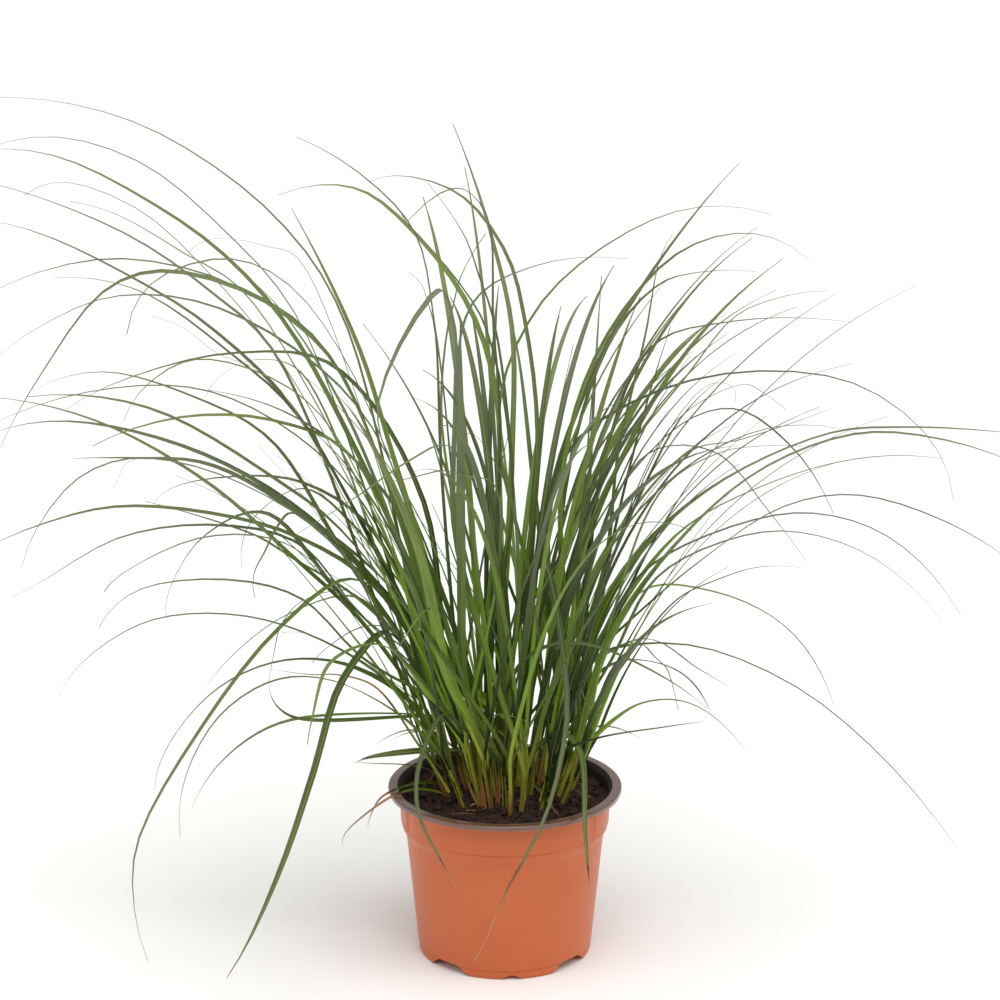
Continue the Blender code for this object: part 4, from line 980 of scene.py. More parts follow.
def grow_clump():
    """The shoots with their leaves: first those read from the front, then the rest by rule."""
    shoots = [Shoot(index) for index in range(SHOOT_COUNT)]
    for number in range(len(SEEN_LEAVES)):
        place_seen_leaf(number, random.Random(SEEN_SEEDS + number), shoots)
    for index, shoot in enumerate(shoots):
        rng = random.Random(GROWN_SEEDS + index)
        for _ in range(LEAVES_PER_SHOOT - len(shoot.leaves)):
            place_grown_leaf(shoot, rng, shoots)
    return shoots


# ------------------------------------------------------------------------------ modelling tools


def add_piece(name, primitive, **settings):
    """Adds a primitive with nothing else selected, and names it."""
    if bpy.context.object and bpy.context.object.mode != "OBJECT":
        bpy.ops.object.mode_set(mode="OBJECT")
    bpy.ops.object.select_all(action="DESELECT")
    primitive(**settings)
    piece = bpy.context.object
    piece.name = piece.data.name = name
    return piece


def pick(piece, kind, test):
    """Selects only the verts, edges or faces of a piece in edit mode that pass the test."""
    bpy.ops.mesh.select_mode(type={"verts": "VERT", "edges": "EDGE", "faces": "FACE"}[kind])
    bpy.ops.mesh.select_all(action="DESELECT")
    shape = bmesh.from_edit_mesh(piece.data)
    for item in getattr(shape, kind):
        item.select_set(test(item))
    bmesh.update_edit_mesh(piece.data)


def spin_outline(name, outline, steps):
    """Moves a circle's vertices to (radius, z) points and spins them round the Z axis."""
    piece = add_piece(
        name, bpy.ops.mesh.primitive_circle_add, vertices=len(outline), radius=RIM_RADIUS
    )
    for vert, (radius, z) in zip(piece.data.vertices, outline):
        vert.co = (radius, 0.0, z)
    bpy.ops.object.mode_set(mode="EDIT")
    pick(piece, "edges", lambda edge: max(vert.co.x for vert in edge.verts) < GAP)
    bpy.ops.mesh.delete(type="EDGE")
    bpy.ops.mesh.select_all(action="SELECT")
    bpy.ops.mesh.spin(steps=steps, angle=math.tau, center=(0, 0, 0), axis=(0, 0, 1))
    bpy.ops.mesh.select_all(action="SELECT")
    bpy.ops.mesh.remove_doubles(threshold=ONE_VERTEX)
    bpy.ops.mesh.normals_make_consistent(inside=False)
    bpy.ops.object.mode_set(mode="OBJECT")
    return piece


def cut(piece, cutter):
    """Cuts the cutter out of the piece and removes the cutter."""
    bpy.ops.object.select_all(action="DESELECT")
    bpy.context.view_layer.objects.active = piece
    piece.select_set(True)
    modifier = piece.modifiers.new("Cut", "BOOLEAN")
    modifier.operation = "DIFFERENCE"
    modifier.solver = "EXACT"
    modifier.object = cutter
    bpy.ops.object.modifier_apply(modifier=modifier.name)
    remove(cutter)


def remove(piece):
    mesh = piece.data
    bpy.data.objects.remove(piece, do_unlink=True)
    bpy.data.meshes.remove(mesh)


def join(name, pieces):
    """Makes one piece of many."""
    bpy.ops.object.select_all(action="DESELECT")
    for piece in pieces:
        piece.select_set(True)
    bpy.context.view_layer.objects.active = pieces[0]
    if len(pieces) > 1:
        bpy.ops.object.join()
    pieces[0].name = pieces[0].data.name = name
    return pieces[0]


def wear(piece, *materials):
    """Gives a piece these materials in place of its own."""
    piece.data.materials.clear()
    for material in materials:
        piece.data.materials.append(material)


def finish_piece(piece, slot, angle, *replaced):
    """Smooths a piece up to an angle, and ties it to the frame."""
    bpy.ops.object.select_all(action="DESELECT")
    piece.select_set(True)
    bpy.context.view_layer.objects.active = piece
    bpy.ops.object.transform_apply(location=True, rotation=True, scale=True)
    bpy.ops.object.shade_smooth_by_angle(angle=angle)
    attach(piece, "root")
    if replaced:
        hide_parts(*replaced)


def copy_of(blank, places):
    """A copy of a blank with its own mesh, its vertices moved to the given places."""
    piece = blank.copy()
    piece.data = blank.data.copy()
    piece.data.vertices.foreach_set("co", np.asarray(places, dtype=np.float32).ravel())
    bpy.context.collection.objects.link(piece)
    return piece


# ---------------------------------------------------------------------------------- materials


def new_material(name):
    material = bpy.data.materials.new(name)
    material.use_nodes = True
    return material, material.node_tree, material.node_tree.nodes["Principled BSDF"]


def add_node(tree, kind, inputs=(), stops=(), **settings):
    """Adds a node with its settings, its ramp's stops, and its inputs as values or links."""
    node = tree.nodes.new(kind)
    for name, value in settings.items():
        setattr(node, name, value)
    for key, value in dict(inputs).items():
        if isinstance(value, bpy.types.NodeSocket):
            tree.links.new(value, node.inputs[key])
        else:
            node.inputs[key].default_value = value
    for index, (place, colour) in enumerate(stops):
        elements = node.color_ramp.elements
        element = elements[index] if index < len(elements) else elements.new(place)
        element.position = place
        element.color = (*colour, 1.0)
    return node


def blend(a, b, share):
    """The colour between two colours."""
    return [x + (y - x) * share for x, y in zip(a, b)]


def pot_shell(look):
    """Polypropylene sheet, thermoformed: satin, a little lighter where it was drawn thinner, with
    faint upright draw marks. The marks are under 1 mm wide on the real pot and drawn 2 mm wide."""
    material, tree, shader = new_material("Terracotta polypropylene thermoformed")
    place = add_node(tree, "ShaderNodeTexCoord").outputs["Object"]
    tall = add_node(
        tree, "ShaderNodeMapping", {"Vector": place, "Scale": (1.0, 1.0, DRAW_MARK_STRETCH)}
    )
    marks = add_node(
        tree,
        "ShaderNodeTexNoise",
        {"Vector": tall.outputs[0], "Scale": 1 / DRAW_MARK, "Detail": 3.0},
    )
    cloud = add_node(
        tree, "ShaderNodeTexNoise", {"Vector": place, "Scale": 1 / SHEET_CLOUD, "Detail": 2.0}
    )
    drawn = add_node(
        tree,
        "ShaderNodeValToRGB",
        {"Fac": cloud.outputs["Fac"]},
        stops=((0.35, look.shell), (0.75, look.shell_worn)),
    )
    mark_tone = (*blend(look.shell, look.shell_worn, 0.3), 1.0)
    streak = add_node(
        tree,
        "ShaderNodeMix",
        {0: marks.outputs["Fac"], 6: drawn.outputs[0], 7: mark_tone},
        data_type="RGBA",
    )
    rough = add_node(
        tree,
        "ShaderNodeMapRange",
        {"Value": marks.outputs["Fac"], "To Min": 0.33, "To Max": 0.43},
    )
    bump = add_node(
        tree,
        "ShaderNodeBump",
        {"Height": marks.outputs["Fac"], "Strength": 0.12, "Distance": 0.2 * MM},
    )
    tree.links.new(streak.outputs[2], shader.inputs["Base Color"])
    tree.links.new(rough.outputs[0], shader.inputs["Roughness"])
    tree.links.new(bump.outputs[0], shader.inputs["Normal"])
    shader.inputs["IOR"].default_value = POLYPROPYLENE_IOR
    return material


def pot_liner(name, colour, dusty, roughness, gloss):
    """The brown back of the sheet, thermoformed: glossy on the lip, where the mould polished it,
    and dulled inside by dust from the peat. The dust lies in specks of about 1.5 mm. The inside's
    colour, much darker than the lip's though it is the same sheet, is painted shade within the pot."""
    material, tree, shader = new_material(name)
    place = add_node(tree, "ShaderNodeTexCoord").outputs["Object"]
    dust = add_node(
        tree, "ShaderNodeTexNoise", {"Vector": place, "Scale": 1 / DUST_SPECK, "Detail": 4.0}
    )
    tone = add_node(
        tree,
        "ShaderNodeValToRGB",
        {"Fac": dust.outputs["Fac"]},
        stops=(
            (0.3, blend(colour, (0, 0, 0), 0.25 * dusty)),
            (0.6, colour),
            (0.8, blend(colour, (1, 1, 1), 0.03 * dusty)),
        ),
    )
    rough = add_node(
        tree,
        "ShaderNodeMapRange",
        {
            "Value": dust.outputs["Fac"],
            "To Min": roughness - 0.06 * dusty,
            "To Max": roughness + 0.1 * dusty,
        },
    )
    tree.links.new(tone.outputs[0], shader.inputs["Base Color"])
    tree.links.new(rough.outputs[0], shader.inputs["Roughness"])
    shader.inputs["IOR"].default_value = POLYPROPYLENE_IOR
    shader.inputs["Coat Weight"].default_value = gloss
    shader.inputs["Coat Roughness"].default_value = 0.2
    return material


def peat(look):
    """Peat compost, milled and damp: crumbly, almost black where it is wet, brown on dry edges.
    Its clods are about 6 mm and its grains about 1.2 mm across."""
    material, tree, shader = new_material("Peat milled damp")
    place = add_node(tree, "ShaderNodeTexCoord").outputs["Object"]
    clods = add_node(
        tree, "ShaderNodeTexNoise", {"Vector": place, "Scale": 1 / CLOD_TONE, "Detail": 3.0}
    )
    grains = add_node(
        tree, "ShaderNodeTexNoise", {"Vector": place, "Scale": 1 / GRAIN_TONE, "Detail": 3.0}
    )
    both = add_node(
        tree,
        "ShaderNodeMath",
        {0: clods.outputs["Fac"], 1: grains.outputs["Fac"]},
        operation="MULTIPLY",
    )
    tone = add_node(
        tree,
        "ShaderNodeValToRGB",
        {"Fac": both.outputs[0]},
        stops=((0.12, look.dark), (0.30, blend(look.dark, look.light, 0.45)), (0.45, look.light)),
    )
    bump = add_node(
        tree,
        "ShaderNodeBump",
        {"Height": grains.outputs["Fac"], "Strength": 0.9, "Distance": 0.8 * MM},
    )
    tree.links.new(tone.outputs[0], shader.inputs["Base Color"])
    tree.links.new(bump.outputs[0], shader.inputs["Normal"])
    shader.inputs["Roughness"].default_value = 0.93
    shader.inputs["IOR"].default_value = 1.4
    return material


def living_leaf(look):
    """Living grass leaf: ribbed and a little waxy, pale yellow-green or browned at the foot, green
    above, with a pale midrib, a greyer underside and a dry tip. The real ribs are about 0.4 mm
    apart, too fine to show, so six are drawn on each half.

    The UV map runs across the upper side from 0 to 1 and on over the underside to 2, and along the
    blade from 0 at the foot to 1 at the tip. Each blade has its own tint, bloom and dry share."""
    material, tree, shader = new_material("Grass leaf living")
    uv = add_node(tree, "ShaderNodeUVMap", uv_map="UVMap").outputs[0]
    split = add_node(tree, "ShaderNodeSeparateXYZ", {0: uv})
    across, along = split.outputs["X"], split.outputs["Y"]
    tint = add_node(tree, "ShaderNodeAttribute", attribute_name="tint").outputs["Fac"]
    dry_from = add_node(tree, "ShaderNodeAttribute", attribute_name="dry_from").outputs["Fac"]
    bloom = add_node(tree, "ShaderNodeAttribute", attribute_name="bloom").outputs["Fac"]

    fresh = add_node(
        tree,
        "ShaderNodeValToRGB",
        {"Fac": along},
        stops=(
            (0.0, look.foot),
            (0.06, look.foot),
            (0.15, blend(look.foot, look.fresh, 0.7)),
            (0.26, look.fresh),
            (0.45, blend(look.fresh, look.aged, 0.15)),
            (0.75, blend(look.fresh, look.aged, 0.8)),
            (1.0, look.aged),
        ),
    )
    deep = add_node(
        tree,
        "ShaderNodeValToRGB",
        {"Fac": along},
        stops=(
            (0.0, blend(look.foot, look.deep, 0.4)),
            (0.06, blend(look.fresh, look.deep, 0.85)),
            (0.15, look.deep),
            (0.55, blend(look.deep, look.aged, 0.25)),
            (1.0, blend(look.deep, look.aged, 0.7)),
        ),
    )
    green = add_node(
        tree, "ShaderNodeMix", {0: tint, 6: fresh.outputs[0], 7: deep.outputs[0]}, data_type="RGBA"
    )

    # Some feet are browned: the last digits of the tint draw which
    lot = add_node(tree, "ShaderNodeMath", {0: tint, 1: FOOT_LOTS}, operation="MULTIPLY")
    drawn_lot = add_node(tree, "ShaderNodeMath", {0: lot.outputs[0]}, operation="FRACT")
    low = add_node(
        tree,
        "ShaderNodeMapRange",
        {
            "Value": along,
            "From Min": FOOT_BROWN_UP_TO[0],
            "From Max": FOOT_BROWN_UP_TO[1],
            "To Min": 1.0,
            "To Max": 0.0,
        },
        interpolation_type="SMOOTHSTEP",
    )
    browned = add_node(
        tree,
        "ShaderNodeMapRange",
        {
            "Value": drawn_lot.outputs[0],
            "From Min": FOOT_LOT_BROWNED[0],
            "From Max": FOOT_LOT_BROWNED[1],
            "To Min": 0.0,
            "To Max": FOOT_BROWNED,
        },
    )
    sheath_share = add_node(
        tree, "ShaderNodeMath", {0: low.outputs[0], 1: browned.outputs[0]}, operation="MULTIPLY"
    )
    footed = add_node(
        tree,
        "ShaderNodeMix",
        {0: sheath_share.outputs[0], 6: green.outputs[2], 7: (*look.sheath, 1.0)},
        data_type="RGBA",
    )

    # Lighter and darker streaks along the leaf, different on each one
    streak_place = add_node(tree, "ShaderNodeCombineXYZ", {"X": across, "Y": along, "Z": tint})
    streak_map = add_node(
        tree, "ShaderNodeMapping", {"Vector": streak_place.outputs[0], "Scale": LIVING_STREAKS}
    )
    streaks = add_node(
        tree, "ShaderNodeTexNoise", {"Vector": streak_map.outputs[0], "Scale": 1.0, "Detail": 2.0}
    )
    bright = add_node(
        tree,
        "ShaderNodeMapRange",
        {
            "Value": streaks.outputs["Fac"],
            "From Min": 0.3,
            "From Max": 0.7,
            "To Min": 0.75,
            "To Max": 1.2,
        },
    )
    streaked = add_node(
        tree,
        "ShaderNodeMix",
        {0: 1.0, 6: footed.outputs[2], 7: bright.outputs[0]},
        data_type="RGBA",
        blend_type="MULTIPLY",
    )

    # The ribs, and on the upper side the midrib
    turns = add_node(
        tree, "ShaderNodeMath", {0: across, 1: RIBS_ACROSS * math.tau}, operation="MULTIPLY"
    )
    ribs = add_node(tree, "ShaderNodeMath", {0: turns.outputs[0]}, operation="SINE")
    half = add_node(tree, "ShaderNodeMath", {0: across, 1: 1.0}, operation="FRACT")
    from_rib = add_node(tree, "ShaderNodeMath", {0: half.outputs[0], 1: 0.5}, operation="SUBTRACT")
    distance = add_node(tree, "ShaderNodeMath", {0: from_rib.outputs[0]}, operation="ABSOLUTE")
    rib_line = add_node(
        tree,
        "ShaderNodeMapRange",
        {
            "Value": distance.outputs[0],
            "From Min": MIDRIB_EDGE[0],
            "From Max": MIDRIB_EDGE[1],
            "To Min": MIDRIB_STRENGTH,
            "To Max": 0.0,
        },
        interpolation_type="SMOOTHSTEP",
    )
    upper = add_node(tree, "ShaderNodeMath", {0: across, 1: 1.0}, operation="LESS_THAN")
    midrib = add_node(
        tree, "ShaderNodeMath", {0: rib_line.outputs[0], 1: upper.outputs[0]}, operation="MULTIPLY"
    )
    ribbed = add_node(
        tree,
        "ShaderNodeMix",
        {0: midrib.outputs[0], 6: streaked.outputs[2], 7: (*look.midrib, 1.0)},
        data_type="RGBA",
    )

    # The bloom lies on the outer part of the leaf, thicker below
    under = add_node(tree, "ShaderNodeMath", {0: across, 1: 1.0}, operation="GREATER_THAN")
    waxy_side = add_node(
        tree,
        "ShaderNodeMapRange",
        {"Value": under.outputs[0], "To Min": BLOOM_ABOVE, "To Max": BLOOM_BELOW},
    )
    waxy_part = add_node(
        tree,
        "ShaderNodeMapRange",
        {"Value": along, "From Min": BLOOM_ALONG[0], "From Max": BLOOM_ALONG[1]},
        interpolation_type="SMOOTHSTEP",
    )
    waxy = add_node(
        tree,
        "ShaderNodeMath",
        {0: waxy_part.outputs[0], 1: waxy_side.outputs[0]},
        operation="MULTIPLY",
    )
    wax_share = add_node(
        tree, "ShaderNodeMath", {0: waxy.outputs[0], 1: bloom}, operation="MULTIPLY"
    )

    # The tip dries from brown to grey, behind a ragged edge
    past = add_node(tree, "ShaderNodeMath", {0: along, 1: dry_from}, operation="SUBTRACT")
    ragged = add_node(
        tree,
        "ShaderNodeMath",
        {0: streaks.outputs["Fac"], 1: TIP_RAGGED, 2: past.outputs[0]},
        operation="MULTIPLY_ADD",
    )
    dry_share = add_node(
        tree,
        "ShaderNodeMapRange",
        {"Value": ragged.outputs[0], "From Min": 0.0, "From Max": TIP_EDGE},
        interpolation_type="SMOOTHSTEP",
    )
    dry_tone = add_node(
        tree,
        "ShaderNodeValToRGB",
        {"Fac": ragged.outputs[0]},
        stops=(
            (0.0, linear(TIP_BROWNS[0])),
            (0.04, linear(TIP_BROWNS[1])),
            (0.10, linear(TIP_BROWNS[2])),
            (0.28, blend(look.straw, linear(TIP_GREY), 0.5)),
            (0.50, linear(TIP_GREY)),
        ),
    )
    tipped = add_node(
        tree,
        "ShaderNodeMix",
        {0: dry_share.outputs[0], 6: ribbed.outputs[2], 7: dry_tone.outputs[0]},
        data_type="RGBA",
    )
    skin = add_node(
        tree,
        "ShaderNodeMix",
        {0: wax_share.outputs[0], 6: tipped.outputs[2], 7: (*look.wax, 1.0)},
        data_type="RGBA",
    )
    rough = add_node(
        tree,
        "ShaderNodeMapRange",
        {"Value": streaks.outputs["Fac"], "To Min": 0.36, "To Max": 0.54},
    )
    bump = add_node(
        tree,
        "ShaderNodeBump",
        {"Height": ribs.outputs[0], "Strength": 0.25, "Distance": 0.08 * MM},
    )
    tree.links.new(skin.outputs[2], shader.inputs["Base Color"])
    tree.links.new(rough.outputs[0], shader.inputs["Roughness"])
    tree.links.new(bump.outputs[0], shader.inputs["Normal"])
    shader.inputs["IOR"].default_value = 1.42
    shader.inputs["Specular IOR Level"].default_value = 0.25
    return material


def dry_leaf(look):
    """Dead grass leaf: straw, papery and dull, with brown and grey streaks along it that are about
    0.5 mm wide and drawn 1 mm wide."""
    material, tree, shader = new_material("Grass leaf dead straw")
    uv = add_node(tree, "ShaderNodeUVMap", uv_map="UVMap").outputs[0]
    stretched = add_node(tree, "ShaderNodeMapping", {"Vector": uv, "Scale": DEAD_STREAKS})
    streaks = add_node(
        tree, "ShaderNodeTexNoise", {"Vector": stretched.outputs[0], "Scale": 1.0, "Detail": 4.0}
    )
    tone = add_node(
        tree,
        "ShaderNodeValToRGB",
        {"Fac": streaks.outputs["Fac"]},
        stops=(
            (0.30, linear(DEAD_BROWNS[0])),
            (0.45, linear(DEAD_BROWNS[1])),
            (0.60, look.straw),
            (0.75, linear(DEAD_BLEACHED)),
        ),
    )
    tint = add_node(tree, "ShaderNodeAttribute", attribute_name="tint").outputs["Fac"]
    browned = add_node(tree, "ShaderNodeMath", {0: tint, 1: DEAD_BROWNED}, operation="MULTIPLY")
    skin = add_node(
        tree,
        "ShaderNodeMix",
        {0: browned.outputs[0], 6: tone.outputs[0], 7: (*look.sheath, 1.0)},
        data_type="RGBA",
    )
    bump = add_node(
        tree,
        "ShaderNodeBump",
        {"Height": streaks.outputs["Fac"], "Strength": 0.4, "Distance": 0.2 * MM},
    )
    tree.links.new(skin.outputs[2], shader.inputs["Base Color"])
    tree.links.new(bump.outputs[0], shader.inputs["Normal"])
    shader.inputs["Roughness"].default_value = 0.72
    shader.inputs["IOR"].default_value = 1.4
    return material


@functools.cache
def leaf_materials():
    """The living and the dead leaf's material, which every shoot and all litter share."""
    look = bpy.context.scene.potted_grass.grass
    return living_leaf(look), dry_leaf(look)


def floor_paper(colour):
    """Studio paper, uncoated: pale and matt, with a faint tooth of about 1 mm."""
    material, tree, shader = new_material("Studio paper uncoated")
    place = add_node(tree, "ShaderNodeTexCoord").outputs["Object"]
    tooth = add_node(tree, "ShaderNodeTexNoise", {"Vector": place, "Scale": 1 / PAPER_TOOTH})
    bump = add_node(
        tree,
        "ShaderNodeBump",
        {"Height": tooth.outputs["Fac"], "Strength": 0.02, "Distance": 0.05 * MM},
    )
    tree.links.new(bump.outputs[0], shader.inputs["Normal"])
    shader.inputs["Base Color"].default_value = (*colour, 1.0)
    shader.inputs["Roughness"].default_value = 0.9
    return material


# ---------------------------------------------------------------------------------------- pot


def pot_corners(look):
    """(radius, z, rounding) of each corner: down the outside from the lip, then up the inside."""
    lip_radius = RIM_RADIUS - LIP_WIDTH
    lip_foot = POT_HEIGHT - LIP_EDGE
    under_lip = lip_foot + 0.5 * LIP_EDGE
    thin = 0.4 * WALL
    slope_radius = (COLLAR_FOOT_RADIUS + WALL_TOP_RADIUS) / 2 + CREASE
    outside = [
        (lip_radius, POT_HEIGHT, look.lip_rounding),
        (RIM_RADIUS, POT_HEIGHT, look.lip_rounding),
        (RIM_RADIUS, lip_foot, thin),
        (RIM_RADIUS - WALL, lip_foot, thin),
        (RIM_RADIUS - WALL, under_lip, thin),
        (COLLAR_RADIUS + 0.25 * LIP_EDGE, under_lip, look.lip_rounding),
        (COLLAR_RADIUS, lip_foot - WALL, look.collar_rounding),
        (COLLAR_FOOT_RADIUS + CREASE / 4, COLLAR_FOOT_Z + CREASE / 2, CREASE / 5),
        (COLLAR_FOOT_RADIUS - 0.7 * CREASE, COLLAR_FOOT_Z + CREASE / 4, CREASE / 8),
        (COLLAR_FOOT_RADIUS - CREASE / 4, COLLAR_FOOT_Z - CREASE, CREASE / 2),
        (slope_radius, (COLLAR_FOOT_Z + STEP_Z) / 2, 4 * look.collar_rounding),
        (WALL_TOP_RADIUS, STEP_Z, 4 * look.collar_rounding),
        (WALL_FOOT_RADIUS, WALL_FOOT_Z, CREASE),
        (WALL_FOOT_RADIUS - FOOT_EDGE - CREASE / 4, FOOT_EDGE_Z, CREASE / 2),
        (FOOT_RADIUS + CREASE, FOOT_EDGE_Z / 2, 2 * look.foot_rounding),
        (FOOT_RADIUS, 0.0, look.foot_rounding),
        (FOOT_INNER_RADIUS, 0.0, FOOT_EDGE),
        (FOOT_INNER_RADIUS - FOOT_DRAFT, FLOOR_Z, FOOT_EDGE),
        (CENTRE_HOLE_RADIUS, FLOOR_Z, thin),
    ]
    inside = [
        (CENTRE_HOLE_RADIUS, FLOOR_Z + WALL, thin),
        (WALL_FOOT_RADIUS - WALL, FLOOR_Z + WALL, look.foot_rounding),
        (WALL_TOP_RADIUS - WALL, STEP_Z, look.collar_rounding),
        (COLLAR_FOOT_RADIUS - WALL, COLLAR_FOOT_Z, look.collar_rounding),
        (COLLAR_RADIUS - WALL, lip_foot, look.collar_rounding),
    ]
    return outside + inside


def rounded(corners):
    """The closed outline through the corners, each one rounded."""
    outline = []
    for index, (radius, z, rounding) in enumerate(corners):
        here = Vector((radius, z))
        back = Vector(corners[index - 1][:2]) - here
        ahead = Vector(corners[(index + 1) % len(corners)][:2]) - here
        most = CORNER_REACH * min(back.length, ahead.length)
        reach = min(rounding / math.tan(back.angle(ahead) / 2), most)
        start, end = here + back.normalized() * reach, here + ahead.normalized() * reach
        for k in range(CORNER_STEPS + 1):
            share = k / CORNER_STEPS
            outline.append(start.lerp(here, share).lerp(here.lerp(end, share), share))
    return outline


def foot_cutter(width, height, turn):
    """A radial bar for one opening through the foot, drawn up from the floor by its profile."""
    reach = CHANNEL_START_RADIUS + CHANNEL_LENGTH / 2
    cutter = add_piece(
        "foot_cutter",
        bpy.ops.mesh.primitive_cube_add,
        size=1.0,
        location=(reach, 0.0, -CUTTER_MARGIN / 2),
        scale=(CHANNEL_LENGTH, OPENING_PROFILE[0][1] * width, CUTTER_MARGIN),
    )
    bpy.ops.object.transform_apply(location=True, rotation=True, scale=True)
    bpy.ops.object.mode_set(mode="EDIT")
    pick(cutter, "faces", lambda face: face.normal.z > FACES_UP)
    for (low, wide), (high, narrow) in zip(OPENING_PROFILE, OPENING_PROFILE[1:]):
        rise = (0, 0, (high - low) * height)
        bpy.ops.mesh.extrude_region_move(TRANSFORM_OT_translate={"value": rise})
        bpy.ops.transform.resize(
            value=(1.0, narrow / wide, 1.0), center_override=(reach, 0.0, high * height)
        )
    bpy.ops.object.mode_set(mode="OBJECT")
    cutter.rotation_euler.z = turn - math.pi / 2
    return cutter


def upright_rod(name, steps, radius, low, high, x, y):
    """A round rod between two heights, with its place applied, in edit mode."""
    rod = add_piece(
        name,
        bpy.ops.mesh.primitive_cylinder_add,
        vertices=steps,
        radius=radius,
        depth=high - low,
        location=(x, y, (high + low) / 2),
    )
    bpy.ops.object.transform_apply(location=True, rotation=True, scale=True)
    bpy.ops.object.mode_set(mode="EDIT")
    return rod


def dent_cutter(turn):
    """A rod that presses a dent into the collar, from under its foot up to the lip."""
    low, high = COLLAR_FOOT_Z - DENT_RUN_OUT, POT_HEIGHT - LIP_EDGE
    reach = COLLAR_RADIUS + DENT_RADIUS - DENT_DEPTH
    cutter = upright_rod("dent_cutter", DENT_STEPS, DENT_RADIUS, low, high, reach, 0.0)
    pick(cutter, "faces", lambda face: face.normal.z < -FACES_UP)
    bpy.ops.transform.translate(value=(COLLAR_FOOT_RADIUS - COLLAR_RADIUS, 0.0, 0.0))
    bpy.ops.object.mode_set(mode="OBJECT")
    cutter.rotation_euler.z = turn - math.pi / 2
    return cutter


def flute_cutter(turn):
    """A rod that presses a shallow flute into the foot, up to the crease above it."""
    low, high = -CUTTER_MARGIN, FOOT_EDGE_Z
    reach = FOOT_RADIUS + FLUTE_RADIUS - FLUTE_DEPTH
    cutter = upright_rod("flute_cutter", FLUTE_STEPS, FLUTE_RADIUS, low, high, reach, 0.0)
    pick(cutter, "faces", lambda face: face.normal.z > FACES_UP)
    bpy.ops.transform.translate(value=(FLUTE_DEPTH, 0.0, 0.0))
    bpy.ops.object.mode_set(mode="OBJECT")
    cutter.rotation_euler.z = turn - math.pi / 2
    return cutter


def drain_cutter(turn):
    """A rod for a round hole through the floor, with a wider mouth below."""
    low, high = FLOOR_Z - CUTTER_MARGIN, FLOOR_Z + WALL + CUTTER_MARGIN
    x, y = DRAIN_HOLE_RING * math.cos(turn), DRAIN_HOLE_RING * math.sin(turn)
    cutter = upright_rod("drain_cutter", DRAIN_HOLE_STEPS, DRAIN_HOLE_RADIUS, low, high, x, y)
    pick(cutter, "faces", lambda face: face.normal.z < -FACES_UP)
    mouth = (DRAIN_HOLE_MOUTH, DRAIN_HOLE_MOUTH, 1.0)
    bpy.ops.transform.resize(value=mouth, center_override=(x, y, FLOOR_Z))
    bpy.ops.object.mode_set(mode="OBJECT")
    return cutter


def dress_pot(pot, look):
    """Gives the shell, the lip and the inside their materials by where their faces lie."""
    lip = pot_liner("Brown polypropylene lip thermoformed", look.lip, 0.3, 0.3, 1.0)
    # The inside's darker colour is painted shade within the pot, with darker dust specks on it
    liner = pot_liner("Brown polypropylene liner dusty", look.inside, 1.0, 0.75, 0.0)
    wear(pot, pot_shell(look), lip, liner)
    for face in pot.data.polygons:
        x, y, z = face.center
        radius = math.hypot(x, y)
        on_lip = z > POT_HEIGHT - LIP_EDGE and radius > RIM_RADIUS - LIP_WIDTH
        on_floor = z > FLOOR_Z + 0.5 * WALL and radius < WALL_FOOT_RADIUS - WALL
        inward = x * face.normal.x + y * face.normal.y < 0
        if on_lip and face.normal.z >= -LIP_FACES_DOWN:
            face.material_index = 1
        elif on_floor or (inward and z > FLOOR_Z):
            face.material_index = 2
        else:
            face.material_index = 0


class POTTEDGRASS_OT_pot(bpy.types.Operator):
    """Model the nursery pot"""

    bl_idname = "potted_grass.pot"
    bl_label = "Nursery pot"

    def execute(self, context):
        look = context.scene.potted_grass.pot
        pot = spin_outline("nursery_pot", rounded(pot_corners(look)), look.steps)
        channel_height = CHANNEL_HEIGHT + OPENING_LIFT
        for i in range(CHANNEL_COUNT):
            quarter = i * math.tau / CHANNEL_COUNT
            cut(pot, foot_cutter(CHANNEL_FOOT_WIDTH, channel_height, CHANNEL_TURN + quarter))
            cut(pot, foot_cutter(NOTCH_WIDTH, NOTCH_HEIGHT, NOTCH_TURN + quarter))
            cut(pot, flute_cutter(NOTCH_TURN + quarter))
            cut(pot, drain_cutter(NOTCH_TURN + quarter))
        for i in range(DENT_COUNT):
            cut(pot, dent_cutter(DENT_TURN + i * math.tau / DENT_COUNT))
        dress_pot(pot, look)
        finish_piece(pot, "pot", POT_SMOOTH_ANGLE, "pot")
        return {"FINISHED"}


# --------------------------------------------------------------------------------------- peat


def peat_height(x, y):
    """The height of the peat as it looks: the soil's mound with clods and grains on it."""
    place = Vector((x, y, 0.0))
    clods = PEAT_CLOD * abs(noise.noise(place / PEAT_CLOD_SIZE + PEAT_CLOD_PATCH))
    grains = PEAT_GRAIN * noise.noise(place / PEAT_GRAIN_SIZE + PEAT_GRAIN_PATCH)
    return soil_height(x, y) + clods + grains


def peat_outline():
    """(radius, z) points: out over the top in fine rings, down the wall's inside and in below."""
    inset = WALL + GAP
    edge = COLLAR_RADIUS - inset - GAP
    rings = round(edge / PEAT_RING_GAP)
    top = [(edge * i / rings, SOIL_Z) for i in range(rings + 1)]
    side = [
        (COLLAR_FOOT_RADIUS - inset - GAP, COLLAR_FOOT_Z),
        (WALL_TOP_RADIUS - inset - GAP, STEP_Z),
        (WALL_FOOT_RADIUS - 4 * inset, FLOOR_Z + inset),
    ]
    return top + side + [(0.0, FLOOR_Z + inset)]


